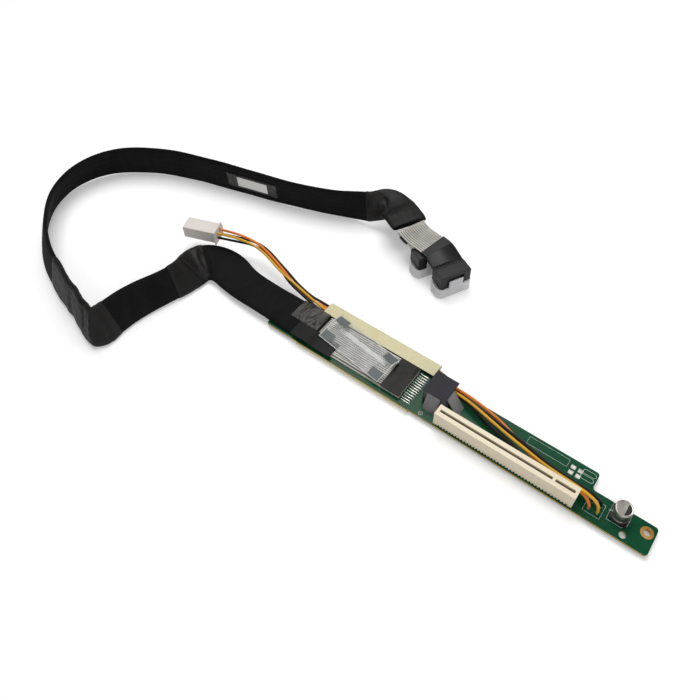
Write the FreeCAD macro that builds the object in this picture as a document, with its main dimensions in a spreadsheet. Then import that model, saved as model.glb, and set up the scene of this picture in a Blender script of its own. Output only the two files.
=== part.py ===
import FreeCAD, Part
import math
import os
import re
import Sketcher
from FreeCAD import Placement, Rotation, Vector

# Riser card with a flat cable tail, in millimetres.
# Origin: centre of the plated screw hole, on the top face of the board.
# +X runs along the board towards the screw hole end, +Z is up from the top face.

SIZES = [
    # circuit board
    ("board_length", 262.0), ("board_width", 29.3), ("board_thickness", 1.6),
    ("board_tail_length", 38.4), ("board_tail_width", 18.3), ("board_corner", 2.0),
    ("hole_to_end", 4.6), ("hole_to_front", 12.5), ("screw_hole_radius", 1.8),
    ("plating_wall", 0.2), ("plating_ring_radius", 3.6), ("plating_thickness", 0.1),
    ("tooling_hole_radius", 2.0), ("tooling_hole_from_hole", 10.1), ("tooling_hole_from_front", 3.7),
    ("small_hole_radius", 0.8), ("small_hole_from_slot", 9.7), ("small_hole_from_front", 2.4),
    ("stand_height", 2.0),
    # card slot
    ("slot_length", 89.0), ("slot_width", 7.5), ("slot_height", 11.25), ("slot_to_hole", 38.6),
    ("slot_setback", 1.1), ("slot_end_wall", 1.8), ("groove_width", 1.8), ("groove_lip", 1.6),
    ("channel_width", 5.2), ("slot_floor", 1.0), ("key_from_end", 14.4), ("key_width", 1.7),
    ("foot_pitch", 2.0), ("foot_gap", 1.0), ("foot_gap_height", 1.3), ("foot_gap_depth", 0.8),
    ("first_foot_gap", 3.3), ("first_contact", 2.3), ("contact_pitch", 1.0), ("contact_width", 0.55),
    ("contact_thickness", 0.3), ("contact_top", 8.0), ("contact_reach", 0.95),
    ("contact_row_inner", 1.4), ("contact_row_outer", 2.2), ("contact_tail", 1.4),
    ("contact_clearance", 0.1), ("contact_flare", 1.6),
    # capacitor
    ("can_radius", 5.0), ("can_height", 8.4), ("can_rim", 0.6), ("can_bead", 0.35),
    ("can_bead_rise", 1.2), ("base_width", 10.4), ("base_height", 1.5), ("base_cut", 2.2),
    ("can_to_hole", 15.5), ("lead_width", 1.3), ("lead_length", 3.2), ("lead_thickness", 0.2),
    ("lead_past_base", 0.7),
    # bare pads behind the slot
    ("pad_length", 2.8), ("pad_depth", 2.4), ("pad_thickness", 0.08), ("pad_pitch", 4.4),
    ("pad_row_pitch", 3.7), ("pad_to_hole", 49.4), ("pad_to_back", 10.0),
    # power wires, their joints and their plug
    ("wire_diameter", 1.8), ("joint_radius", 1.25), ("joint_core_radius", 1.0),
    ("joint_clearance", 0.05), ("joint_height", 1.3), ("joint_pitch_long", 5.0),
    ("joint_pitch_cross", 4.5), ("joint_to_hole", 31.1), ("joint_to_front", 6.65),
    ("plug_length", 25.0), ("plug_width", 11.0), ("plug_height", 9.4), ("plug_rise", 12.4),
    ("plug_flange", 1.2), ("plug_flange_lip", 0.9), ("plug_pitch", 4.2), ("cavity_width", 3.2),
    ("cavity_depth", 11.0), ("plug_yaw", 20.0), ("latch_width", 5.0), ("latch_height", 1.6),
    ("latch_length", 9.0), ("terminal_length", 9.0), ("terminal_width", 2.0),
    ("plug_lead_in", 11.0),
    # ribbons and tapes on the board
    ("ribbon_width", 23.4), ("ribbon_thickness", 1.2), ("ridge_count", 16.0), ("ridge_height", 0.35),
    ("ribbon_to_front", 3.1), ("ribbon_to_slot", 26.0), ("ribbon_run", 70.0),
    ("upper_shift", 0.9), ("strip_count", 13.0), ("strip_width", 1.0), ("strip_length", 8.0),
    ("strip_thickness", 0.35), ("strip_rise", 0.05),
    ("black_tape_length", 14.0), ("tape_thickness", 0.3),
    ("band_on_ribbon", 18.0), ("band_on_cable", 14.0), ("band_depth", 11.6), ("band_thickness", 0.6),
    ("band_step", 3.0), ("patch_length", 22.0), ("patch_gap", 1.0),
    ("patch_depth", 15.5), ("patch_thickness", 0.35),
    ("yellow_length", 87.0), ("yellow_to_slot", 17.0), ("yellow_reach", 9.1), ("yellow_lip", 1.2),
    ("yellow_over", 0.3), ("yellow_bend", 3.0), ("yellow_middle_rise", 1.6), ("yellow_back_rise", 3.2),
    ("yellow_turn", 1.5), ("yellow_top", 2.5), ("yellow_back_front", 1.2),
    ("under_length", 83.0), ("under_width", 22.0), ("under_inset", 2.0), ("under_to_front", 3.0),
    ("film_length", 51.5), ("film_front_depth", 14.0), ("film_back_depth", 6.5),
    ("film_thickness", 0.25), ("film_ridge", 7.0), ("film_front_rise", 3.45),
    ("film_back_rise", 5.2), ("film_yaw", -7.7), ("film_pad_length", 9.0),
    ("film_pad_depth", 6.5), ("film_pad_thickness", 0.25),
    ("paper_length", 40.0), ("paper_depth", 3.0), ("paper_thickness", 0.1),
    # foam block beside the slot
    ("block_length", 15.5), ("block_depth", 11.0), ("block_height", 11.4), ("block_to_front", 10.6),
    ("block_past_slot", 1.5), ("cover_overhang", 5.5), ("cover_thickness", 0.6),
    ("front_flap_foot", 4.9), ("front_flap_length", 9.0), ("side_flap_foot", 8.2),
    ("side_flap_depth", 8.0), ("side_flap_inset", 0.6), ("flap_thickness", 0.35),
    # flat cable
    ("cable_width", 27.0), ("cable_thickness", 3.6), ("wrap_thickness", 0.3),
    ("label_height", 9.2), ("label_thickness", 0.15), ("laminate_height", 13.2),
    # data plugs at the end of the cable
    ("end_ribbon_width", 22.4), ("end_ribbon_thickness", 1.0), ("collar_thickness", 0.25),
    ("head_length", 12.0), ("head_width", 23.6), ("head_height", 10.4), ("head_top", 15.4),
    ("head_yaw", -27.8), ("head_slope", 3.0), ("head_slope_drop", 0.5), ("recess_width", 13.0),
    ("recess_depth", 3.0), ("recess_height", 8.0), ("nose_length", 6.0), ("nose_width", 19.0), ("nose_height", 5.0),
    ("nose_wall", 1.2), ("blade_pitch", 1.0), ("blade_width", 0.5), ("blade_thickness", 0.2),
    ("blade_length", 4.0), ("cap_wall", 1.0), ("cap_length", 13.6), ("cap_width", 27.8),
    ("cap_gap", 0.2), ("cap_round", 5.0), ("cap_past_head", 1.2), ("tongue_width", 11.0),
    ("tongue_rise", 6.0),
]

doc = FreeCAD.newDocument("riser_card")
sheet = doc.addObject("Spreadsheet::Sheet", "Sizes")
for row, (alias, value) in enumerate(SIZES, start=1):
    sheet.set(f"A{row}", alias.replace("_", " "))
    sheet.set(f"B{row}", str(value))
    sheet.setAlias(f"B{row}", alias)
doc.recompute()
ALIASES = {alias for alias, value in SIZES}
NODES = []


def size(alias):
    return float(sheet.get(alias))


def bound(text):
    """Point every size named in an expression at its cell in the sheet."""
    return re.sub(r"[a-z_]+", lambda word: "Sizes." + word.group() if word.group() in ALIASES
                  else word.group(), text)


def bind(item, **expressions):
    for name, text in expressions.items():
        item.setExpression(name.replace("__", "."), bound(text))


def bind_place(item, x, y, z):
    item.setExpression("Placement.Base.x", bound(x))
    item.setExpression("Placement.Base.y", bound(y))
    item.setExpression("Placement.Base.z", bound(z))


def block(name, length, width, height, x=None, y="0", z="0"):
    """Box bound to the sheet; without an x its Placement is left to be set later."""
    item = doc.addObject("Part::Box", name)
    bind(item, Length=length, Width=width, Height=height)
    if x is not None:
        bind_place(item, x, y, z)
    return item


def post(name, radius, height, x="0", y="0", z="0"):
    item = doc.addObject("Part::Cylinder", name)
    bind(item, Radius=radius, Height=height)
    bind_place(item, x, y, z)
    return item


def shaped(name, shape):
    item = doc.addObject("Part::Feature", name)
    item.Shape = shape
    item.Placement = Placement()
    return item


def cut(name, base, tool):
    item = doc.addObject("Part::Cut", name)
    item.Base = base
    item.Tool = tool
    return item


def join(name, parts):
    item = doc.addObject("Part::MultiFuse", name)
    item.Shapes = parts
    return item


def group(name, parts):
    item = doc.addObject("Part::Compound", name)
    item.Links = parts
    return item


def node(item, label):
    """Give a finished sub-part the label that names its file."""
    item.Label = label
    NODES.append(item)
    return item


def solid_from_outline(points, push):
    """Extrude a closed outline of 3-D points along a vector."""
    wire = Part.makePolygon(list(points) + [points[0]])
    return Part.Face(wire).extrude(push)


def thick_line(points, thickness):
    """Outline of a line of (u, v) points given a thickness on its left side."""
    offset = []
    for i, (u, v) in enumerate(points):
        before = points[max(i - 1, 0)]
        after = points[min(i + 1, len(points) - 1)]
        ways = []
        for start, end in ((before, (u, v)), ((u, v), after)):
            run = math.dist(start, end)
            if run > 0:
                ways.append(((end[0] - start[0]) / run, (end[1] - start[1]) / run))
        across = sum(-way[1] for way in ways), sum(way[0] for way in ways)
        scale = thickness * 2 / (across[0] ** 2 + across[1] ** 2) if len(ways) == 2 else thickness
        offset.append((u + across[0] * scale, v + across[1] * scale))
    return list(points) + offset[::-1]


# Places that several pieces share
FLOOR = -(size("board_thickness") + size("stand_height"))
BOARD_RIGHT = size("hole_to_end")
BOARD_FRONT = -size("hole_to_front")
BOARD_BACK = BOARD_FRONT + size("board_width")
SLOT_RIGHT = -size("slot_to_hole")
SLOT_LEFT = SLOT_RIGHT - size("slot_length")
SLOT_FRONT = BOARD_FRONT + size("slot_setback")
SLOT_MIDDLE = SLOT_FRONT + size("slot_width") / 2
KEY_LEFT = SLOT_RIGHT - size("key_from_end") - size("key_width") / 2
KEY_RIGHT = KEY_LEFT + size("key_width")
RIBBON_RIGHT = SLOT_LEFT - size("ribbon_to_slot")
RIBBON_LEFT = RIBBON_RIGHT - size("ribbon_run")
RIBBON_FRONT = BOARD_FRONT + size("ribbon_to_front")
RIBBON_TOP = 2 * size("ribbon_thickness")
BLOCK_RIGHT = SLOT_LEFT + size("block_past_slot")
BLOCK_LEFT = BLOCK_RIGHT - size("block_length")
BLOCK_FRONT = BOARD_FRONT + size("block_to_front")
BLOCK_BACK = BLOCK_FRONT + size("block_depth")

# Expressions for the same places
slot_left = "(-slot_to_hole - slot_length)"
slot_front = "(slot_setback - hole_to_front)"
board_left = "(hole_to_end - board_length)"
ribbon_right = f"({slot_left} - ribbon_to_slot)"
ribbon_left = f"({ribbon_right} - ribbon_run)"
ribbon_front = "(ribbon_to_front - hole_to_front)"
block_left = f"({slot_left} + block_past_slot - block_length)"
block_front = "(block_to_front - hole_to_front)"


# Contacts of the card slot, and the holes that their tails pass through

def contact_stations():
    """X of every contact: one run each side of the key rib, clear of rib and end walls."""
    clear = size("contact_width") / 2 + 2 * size("contact_clearance")
    stations = []
    x = SLOT_LEFT + size("first_contact")
    while x < SLOT_RIGHT - size("slot_end_wall") - clear:
        if x < KEY_LEFT - clear or x > KEY_RIGHT + clear:
            stations.append(x)
        x += size("contact_pitch")
    return stations


def contact_row(index):
    return size("contact_row_inner") if index % 2 else size("contact_row_outer")


def contact_holes(bottom, top):
    """Square holes round every contact tail between two heights."""
    wide = size("contact_width") + 2 * size("contact_clearance")
    deep = size("contact_thickness") + 2 * size("contact_clearance")
    holes = []
    for index, x in enumerate(contact_stations()):
        for side in (-1, 1):
            corner = Vector(x - wide / 2, SLOT_MIDDLE + side * contact_row(index) - deep / 2, bottom)
            holes.append(Part.makeBox(wide, deep, top - bottom, corner))
    return Part.makeCompound(holes)


def contacts(side):
    """Bent spring contacts of one side: straight tail, slope to the card, flared tip."""
    half = size("contact_thickness") / 2
    push = Vector(size("contact_width"), 0, 0)
    springs = []
    for index, x in enumerate(contact_stations()):
        row = contact_row(index)
        line = [(row, -size("board_thickness") - size("contact_tail")),
                (row, size("slot_floor") + 2 * half),
                (size("contact_reach"), size("contact_top") - size("contact_flare")),
                (size("contact_reach") + 2 * half, size("contact_top"))]
        outline = [(y - half, z) for y, z in line] + [(y + half, z) for y, z in reversed(line)]
        points = [Vector(x - push.x / 2, SLOT_MIDDLE + side * y, z) for y, z in outline]
        springs.append(solid_from_outline(points, push))
    return Part.makeCompound(springs)


node(shaped("SlotContactsFront", contacts(-1)), "slot_contacts_front")
node(shaped("SlotContactsBack", contacts(1)), "slot_contacts_back")


# Circuit board: one outline with a step at the back, round corners and drilled holes
board = doc.addObject("PartDesign::Body", "BoardBlank")
bind_place(board, board_left, "-hole_to_front", "-board_thickness")
outline = board.newObject("Sketcher::SketchObject", "BoardOutline")
base_plane = next(item for item in board.Origin.OriginFeatures if item.Role == "XY_Plane")
outline.AttachmentSupport = [(base_plane, "")]
outline.MapMode = "FlatFace"
step_x = size("board_length") - size("board_tail_length")
corners = [Vector(0, 0, 0), Vector(size("board_length"), 0, 0),
           Vector(size("board_length"), size("board_tail_width"), 0),
           Vector(step_x, size("board_tail_width"), 0), Vector(step_x, size("board_width"), 0),
           Vector(0, size("board_width"), 0)]
for i, corner in enumerate(corners):
    outline.addGeometry(Part.LineSegment(corner, corners[(i + 1) % 6]), False)
for i in range(6):
    outline.addConstraint(Sketcher.Constraint("Coincident", i, 2, (i + 1) % 6, 1))
    outline.addConstraint(Sketcher.Constraint("Horizontal" if i % 2 == 0 else "Vertical", i))
outline.addConstraint(Sketcher.Constraint("Coincident", 0, 1, -1, 1))
for line, text in ((0, "board_length"), (1, "board_tail_width"), (2, "board_tail_length"),
                   (5, "board_width")):
    kind = "DistanceX" if line % 2 == 0 else "DistanceY"
    first, last = (2, 1) if line in (2, 5) else (1, 2)
    index = outline.addConstraint(Sketcher.Constraint(kind, line, first, line, last, size(text)))
    outline.setExpression(f"Constraints[{index}]", bound(text))
pad = board.newObject("PartDesign::Pad", "BoardPad")
pad.Profile = outline
bind(pad, Length="board_thickness")
doc.recompute()
upright = [f"Edge{i}" for i, edge in enumerate(pad.Shape.Edges, start=1)
           if abs(edge.Vertexes[0].Z - edge.Vertexes[-1].Z) > size("board_thickness") / 2]
rounding = board.newObject("PartDesign::Fillet", "BoardCorners")
rounding.Base = (pad, upright)
bind(rounding, Radius="board_corner")
board.Tip = rounding

through = "board_thickness + 2"
drill_z = "-board_thickness - 1"
drills = [
    post("ScrewDrill", "screw_hole_radius + plating_wall", through, z=drill_z),
    post("ToolingDrill", "tooling_hole_radius", through, "-tooling_hole_from_hole",
         "tooling_hole_from_front - hole_to_front", drill_z),
    post("SmallDrill", "small_hole_radius", through, f"{slot_left} - small_hole_from_slot",
         "small_hole_from_front - hole_to_front", drill_z),
]
joint_places = [(f"-joint_to_hole + {i} * joint_pitch_long",
                 f"joint_to_front - hole_to_front + {j} * joint_pitch_cross")
                for j in (0, 1) for i in (0, 1)]
for x, y in joint_places:
    drills.append(post("JointDrill", "joint_core_radius + joint_clearance", through, x, y, drill_z))
drills.append(shaped("TailDrills", contact_holes(-size("board_thickness") - 1, 1)))
node(cut("RiserBoard", board, group("BoardDrills", drills)), "riser_board")

# Plated wall and rings of the screw hole
plate_low = "-board_thickness - plating_thickness"
plating = join("PlatingBlank", [
    post("PlatingWall", "screw_hole_radius + plating_wall", "board_thickness + 2 * plating_thickness",
         z=plate_low),
    post("PlatingTop", "plating_ring_radius", "plating_thickness"),
    post("PlatingBottom", "plating_ring_radius", "plating_thickness", z=plate_low),
])
plating_bore = post("PlatingBore", "screw_hole_radius", "board_thickness + 2", z=drill_z)
node(cut("ScrewHolePlating", plating, plating_bore), "screw_hole_plating")


# Card slot: a long housing with an inner channel, a groove between its lips and a key rib

def slot_cut(name, first, last, width, bottom, top):
    """Box cut along the middle of the slot between two x expressions."""
    return block(name, f"{last} - {first}", width, f"{top} - {bottom}", first,
                 f"{slot_front} + slot_width / 2 - {width} / 2", bottom)


slot_blank = block("SlotBlank", "slot_length", "slot_width", "slot_height", slot_left, slot_front, "0")
key_left = "(-slot_to_hole - key_from_end - key_width / 2)"
key_right = "(-slot_to_hole - key_from_end + key_width / 2)"
slot_spans = [(f"({slot_left} + slot_end_wall)", key_left), (key_right, "(-slot_to_hole - slot_end_wall)")]
slot_tools = []
for first, last in slot_spans:
    slot_tools.append(slot_cut("SlotChannel", first, last, "channel_width", "slot_floor",
                               "(slot_height - groove_lip)"))
    slot_tools.append(slot_cut("SlotGroove", first, last, "groove_width",
                               "(slot_height - groove_lip - 0.1)", "(slot_height + 1)"))
foot_count = int((size("slot_length") - size("first_foot_gap")) / size("foot_pitch"))
foot_cuts = []
for i in range(foot_count):
    foot_x = SLOT_LEFT + size("first_foot_gap") + i * size("foot_pitch")
    for foot_y in (SLOT_FRONT - 1, SLOT_FRONT + size("slot_width") - size("foot_gap_depth")):
        foot_cuts.append(Part.makeBox(size("foot_gap"), size("foot_gap_depth") + 1,
                                      size("foot_gap_height") + 1, Vector(foot_x, foot_y, -1)))
slot_tools.append(shaped("FootGaps", Part.makeCompound(foot_cuts)))
slot_tools.append(shaped("FloorHoles", contact_holes(-1, size("slot_floor") + 0.1)))
node(cut("SlotHousing", slot_blank, group("SlotTools", slot_tools)), "slot_housing")

# Capacitor: black base with two cut corners, aluminium can with a bead, two leads
can_x = "(-can_to_hole)"
base_shape = block("BaseBlank", "base_width", "base_width", "base_height", f"{can_x} - base_width / 2",
                   "-base_width / 2", "lead_thickness")
base_corners = []
for side in (-1, 1):
    corner = block("BaseCorner", "base_cut", "base_cut", "base_height + 1")
    reach = size("base_width") / 2
    turn = Rotation(Vector(0, 0, 1), 45)
    corner.Placement = Placement(Vector(-size("can_to_hole") - reach, side * reach - size("base_cut")
                                        * math.sqrt(0.5), -0.2), turn)
    base_corners.append(corner)
base_cut_1 = cut("BaseCutFront", base_shape, base_corners[0])
node(cut("CapacitorBase", base_cut_1, base_corners[1]), "capacitor_base")
can_low = "(lead_thickness + base_height)"
can_body = post("CanBlank", "can_radius", "can_height", can_x, "0", can_low)
bead = doc.addObject("Part::Torus", "CanBead")
bind(bead, Radius1="can_radius + can_bead / 2", Radius2="can_bead")
bind_place(bead, can_x, "0", f"{can_low} + can_bead_rise")
beaded = cut("BeadedCan", can_body, bead)
doc.recompute()
can_top = size("lead_thickness") + size("base_height") + size("can_height")
rim_edge = next(i for i, edge in enumerate(beaded.Shape.Edges, start=1)
                if edge.isClosed() and abs(edge.CenterOfMass.z - can_top) < 0.01)
can = doc.addObject("Part::Fillet", "CapacitorCan")
can.Base = beaded
can.Edges = [(rim_edge, size("can_rim"), size("can_rim"))]
node(can, "capacitor_can")
lead_parts = [block("Lead", "lead_length", "lead_width", "lead_thickness",
                    f"{can_x} + {side} * (base_width / 2 - lead_length / 2 + lead_past_base)"
                    " - lead_length / 2",
                    "-lead_width / 2") for side in (-1, 1)]
node(group("CapacitorLeads", lead_parts), "capacitor_leads")

# Bare solder pads, two by two
pads = [block("Pad", "pad_length", "pad_depth", "pad_thickness", f"-pad_to_hole + {i} * pad_pitch",
              f"board_width - hole_to_front - pad_to_back + {j} * pad_row_pitch")
        for i in (0, 1) for j in (0, 1)]
node(group("SparePads", pads), "spare_pads")

# Solder joints of the power wires: a cone on top, a core through the board, a bump below
joints = []
for i, (x, y) in enumerate(joint_places):
    cone = doc.addObject("Part::Cone", f"JointCone{i}")
    bind(cone, Radius1="joint_radius", Radius2="wire_diameter / 2", Height="joint_height")
    bind_place(cone, x, y, "0")
    core = post(f"JointCore{i}", "joint_core_radius", "board_thickness + stand_height", x, y,
                "-board_thickness - stand_height")
    joints.append(join(f"Joint{i}", [cone, core]))
node(group("PowerWireJoints", joints), "power_wire_joints")


# Ribbons on the board: flat below, ridged above by their round wires

def ridged_ribbon(left, front, bottom, length, width, thickness):
    """Ribbon along X whose top is a row of arcs, one for each wire in it."""
    count = int(size("ridge_count"))
    pitch = width / count
    valley = bottom + thickness - size("ridge_height")
    edges = [Part.LineSegment(Vector(left, front, valley), Vector(left, front, bottom)).toShape(),
             Part.LineSegment(Vector(left, front, bottom), Vector(left, front + width, bottom)).toShape(),
             Part.LineSegment(Vector(left, front + width, bottom),
                              Vector(left, front + width, valley)).toShape()]
    for i in reversed(range(count)):
        y = front + i * pitch
        edges.append(Part.Arc(Vector(left, y + pitch, valley), Vector(left, y + pitch / 2,
                                                                      bottom + thickness),
                              Vector(left, y, valley)).toShape())
    wire = Part.Wire(Part.__sortEdges__(edges))
    return Part.Face(wire).extrude(Vector(length, 0, 0))


node(shaped("BoardRibbonLower", ridged_ribbon(RIBBON_LEFT, RIBBON_FRONT, 0, size("ribbon_run"),
                                              size("ribbon_width"), size("ribbon_thickness"))),
     "board_ribbon_lower")
node(shaped("BoardRibbonUpper", ridged_ribbon(RIBBON_LEFT, RIBBON_FRONT + size("upper_shift"),
                                              size("ribbon_thickness"), size("ribbon_run"),
                                              size("ribbon_width"), size("ribbon_thickness"))),
     "board_ribbon_upper")
strip_pitch = "(ribbon_width - strip_width) / (strip_count - 1)"
tails = [block("RibbonTail", "strip_length", "strip_width", "strip_thickness", ribbon_right,
               f"{ribbon_front} + {i} * {strip_pitch}", "strip_rise")
         for i in range(int(size("strip_count")))]
node(group("RibbonTails", tails), "ribbon_tails")
node(block("BlackTape", "black_tape_length", "ribbon_width + 2 * upper_shift", "tape_thickness",
           f"{ribbon_right} - black_tape_length", f"{ribbon_front} - upper_shift / 2",
           "2 * ribbon_thickness"), "black_tape")

# Bent clear film over the ribbons, with grey pads on its corners and a paper strip below it
film_place = Placement(Vector(RIBBON_RIGHT - size("black_tape_length") - size("tape_thickness"),
                              RIBBON_FRONT + size("film_front_depth"), 0),
                       Rotation(Vector(0, 0, 1), size("film_yaw") + 180))
film_line = [(-size("film_back_depth"), size("film_back_rise")), (0, size("film_ridge")),
             (size("film_front_depth"), size("film_front_rise"))]


def along_film(line, first, last, thickness):
    """Sheet through (depth, height) points, from first to last along the film's ridge."""
    points = [Vector(first, y, z) for y, z in thick_line(line, -thickness)]
    return solid_from_outline(points, Vector(last - first, 0, 0))


film = node(shaped("ClearFilm", along_film(film_line, 0, size("film_length"), size("film_thickness"))),
            "clear_film")
film.Placement = film_place
pad_solids = []
for start, end in ((film_line[0], film_line[1]), (film_line[2], film_line[1])):
    run = math.dist(start, end)
    way = ((end[0] - start[0]) / run, (end[1] - start[1]) / run)
    reach = min(size("film_pad_depth"), run)
    tip = (start[0] + way[0] * reach, start[1] + way[1] * reach)
    lower = [start, tip] if start[0] < 0 else [tip, start]
    for first in (0, size("film_length") - size("film_pad_length")):
        points = [Vector(first, y, z) for y, z in thick_line(lower, size("film_pad_thickness"))]
        pad_solids.append(solid_from_outline(points, Vector(size("film_pad_length"), 0, 0)))
film_pads = node(shaped("FilmPads", Part.makeCompound(pad_solids)), "film_pads")
film_pads.Placement = film_place
paper = node(block("PaperStrip", "paper_length", "paper_depth", "paper_thickness"), "paper_strip")
paper.Placement = Placement(film_place.multVec(Vector((size("film_length") + size("paper_length")) / 2,
                                                      size("paper_depth") / 2, RIBBON_TOP)),
                            Rotation(Vector(0, 0, 1), size("film_yaw")))


# Insulating tape under the ribbons' end of the board and back over the power wires beside it
yellow_right = SLOT_LEFT - size("yellow_to_slot")
yellow_front = BOARD_FRONT - size("yellow_lip")
yellow_back = BOARD_BACK + size("yellow_reach")
yellow_slope = size("stand_height")
yellow_line = [(yellow_front, size("yellow_over")), (yellow_front, -size("board_thickness")),
               (yellow_front + yellow_slope, FLOOR), (BOARD_BACK - size("yellow_bend"), FLOOR),
               (BOARD_BACK + yellow_slope, FLOOR + size("yellow_middle_rise")),
               (yellow_back, FLOOR + size("yellow_back_rise")),
               (yellow_back, size("yellow_top") - size("yellow_turn")),
               (yellow_back - size("yellow_turn"), size("yellow_top")),
               (BOARD_BACK - size("yellow_back_front"), size("yellow_top"))]
yellow_points = [Vector(yellow_right - size("yellow_length"), y, z)
                 for y, z in thick_line(yellow_line, size("tape_thickness"))]
node(shaped("YellowTape", solid_from_outline(yellow_points, Vector(size("yellow_length"), 0, 0))),
     "yellow_tape")
node(block("UnderRibbon", "under_length", "under_width", "stand_height - tape_thickness",
           f"{slot_left} - yellow_to_slot - under_inset - under_length", "under_to_front - hole_to_front",
           "tape_thickness - board_thickness - stand_height"), "underside_ribbon")

# Dark jacket band and clear tape over the place where the ribbons enter the cable
band_front = BOARD_FRONT + size("band_thickness")
band_line = [(RIBBON_LEFT + size("band_on_ribbon"), RIBBON_TOP),
             (RIBBON_LEFT + size("band_step"), RIBBON_TOP),
             (RIBBON_LEFT, size("cable_thickness")),
             (RIBBON_LEFT - size("band_on_cable"), size("cable_thickness"))]
band_points = [Vector(x, band_front, z) for x, z in thick_line(band_line, -size("band_thickness"))]
node(shaped("JacketBand", solid_from_outline(band_points, Vector(0, size("band_depth"), 0))),
     "jacket_band")
node(block("TapePatch", "patch_length", "patch_depth", "patch_thickness",
           f"{ribbon_left} - patch_gap - patch_length",
           "band_thickness + band_depth - hole_to_front", "cable_thickness"), "clear_tape_patch")

# Foam block beside the slot, with its cover and two sloping tape flaps
node(block("FoamBlock", "block_length", "block_depth", "block_height", block_left, block_front, "0"),
     "foam_block")
node(block("BlockCover", "block_length", "block_depth + cover_overhang", "cover_thickness", block_left,
           block_front, "block_height"), "block_cover")


def flap_outline(foot, height, thickness):
    """Strip that leans on a wall: (distance from the wall, height) corners."""
    slant = math.hypot(foot, height)
    return [(0, height), (0, height - thickness * slant / foot), (foot - thickness * slant / height, 0),
            (foot, 0)]


front_points = [Vector(0, -u, v) for u, v in flap_outline(size("front_flap_foot"), size("block_height"),
                                                         size("flap_thickness"))]
front_flap = node(shaped("FrontFlap", solid_from_outline(front_points, Vector(size("front_flap_length"),
                                                                              0, 0))),
                  "block_front_tape")
front_flap.Placement.Base = Vector((BLOCK_LEFT + BLOCK_RIGHT - size("front_flap_length")) / 2,
                                   BLOCK_FRONT, 0)
side_points = [Vector(u, 0, v) for u, v in flap_outline(size("side_flap_foot"), size("block_height"),
                                                       size("flap_thickness"))]
side_flap = node(shaped("SideFlap", solid_from_outline(side_points, Vector(0, -size("side_flap_depth"),
                                                                           0))),
                 "block_side_tape")
side_flap.Placement.Base = Vector(BLOCK_RIGHT, BLOCK_BACK - size("side_flap_inset"), 0)


# Paths of cords: straight runs joined by tangent arcs, which take up this share of the shorter run
ARC_SHARE = 0.45


def path_pieces(points, label):
    """List of (start, middle or None, end, first and last place on the route) along a route."""
    pieces = []
    radii = []
    last_point, last_place = points[0], 0.0
    for i in range(1, len(points) - 1):
        before, corner, after = points[i - 1], points[i], points[i + 1]
        back, ahead = before - corner, after - corner
        half_turn = (math.pi - back.getAngle(ahead)) / 2
        reach = ARC_SHARE * min(back.Length, ahead.Length)
        radius = reach / math.tan(half_turn)
        radii.append(round(radius, 1))
        start = corner + back.normalize() * reach
        end = corner + ahead.normalize() * reach
        inward = (back + ahead).normalize()
        middle = corner + inward * (radius / math.cos(half_turn) - radius)
        first = i - reach / (before - corner).Length
        second = i + reach / (after - corner).Length
        pieces.append((last_point, None, start, last_place, first))
        pieces.append((start, middle, end, first, second))
        last_point, last_place = end, second
    pieces.append((last_point, None, points[-1], last_place, len(points) - 1.0))
    print(label, "smallest radius", min(radii), "mm, all", radii)
    return pieces


def tube(points, diameter, label):
    """Round tube along a route of straight runs and tangent arcs."""
    edges = []
    for start, middle, end, first, last in path_pieces(points, label):
        curve = Part.LineSegment(start, end) if middle is None else Part.Arc(start, middle, end)
        edges.append(curve.toShape())
    path = Part.Wire(edges)
    ring = Part.Wire(Part.Circle(points[0], points[1] - points[0], diameter / 2).toShape())
    solid = path.makePipeShell([ring], True, True)
    straight = math.pi * diameter ** 2 / 4 * path.Length
    print(label, "length", round(path.Length, 1), "mm, volume over section times length",
          round(solid.Volume / straight, 4))
    return solid


# Flat cable: a strip that lies on the board, folds on to its edge, runs round a loop
# and turns over at the end. Each place of the route has its height, lean and width.
# Lean 0 lies flat, 90 stands on edge, 180 lies upside down; low heights rest on the floor.

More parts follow.
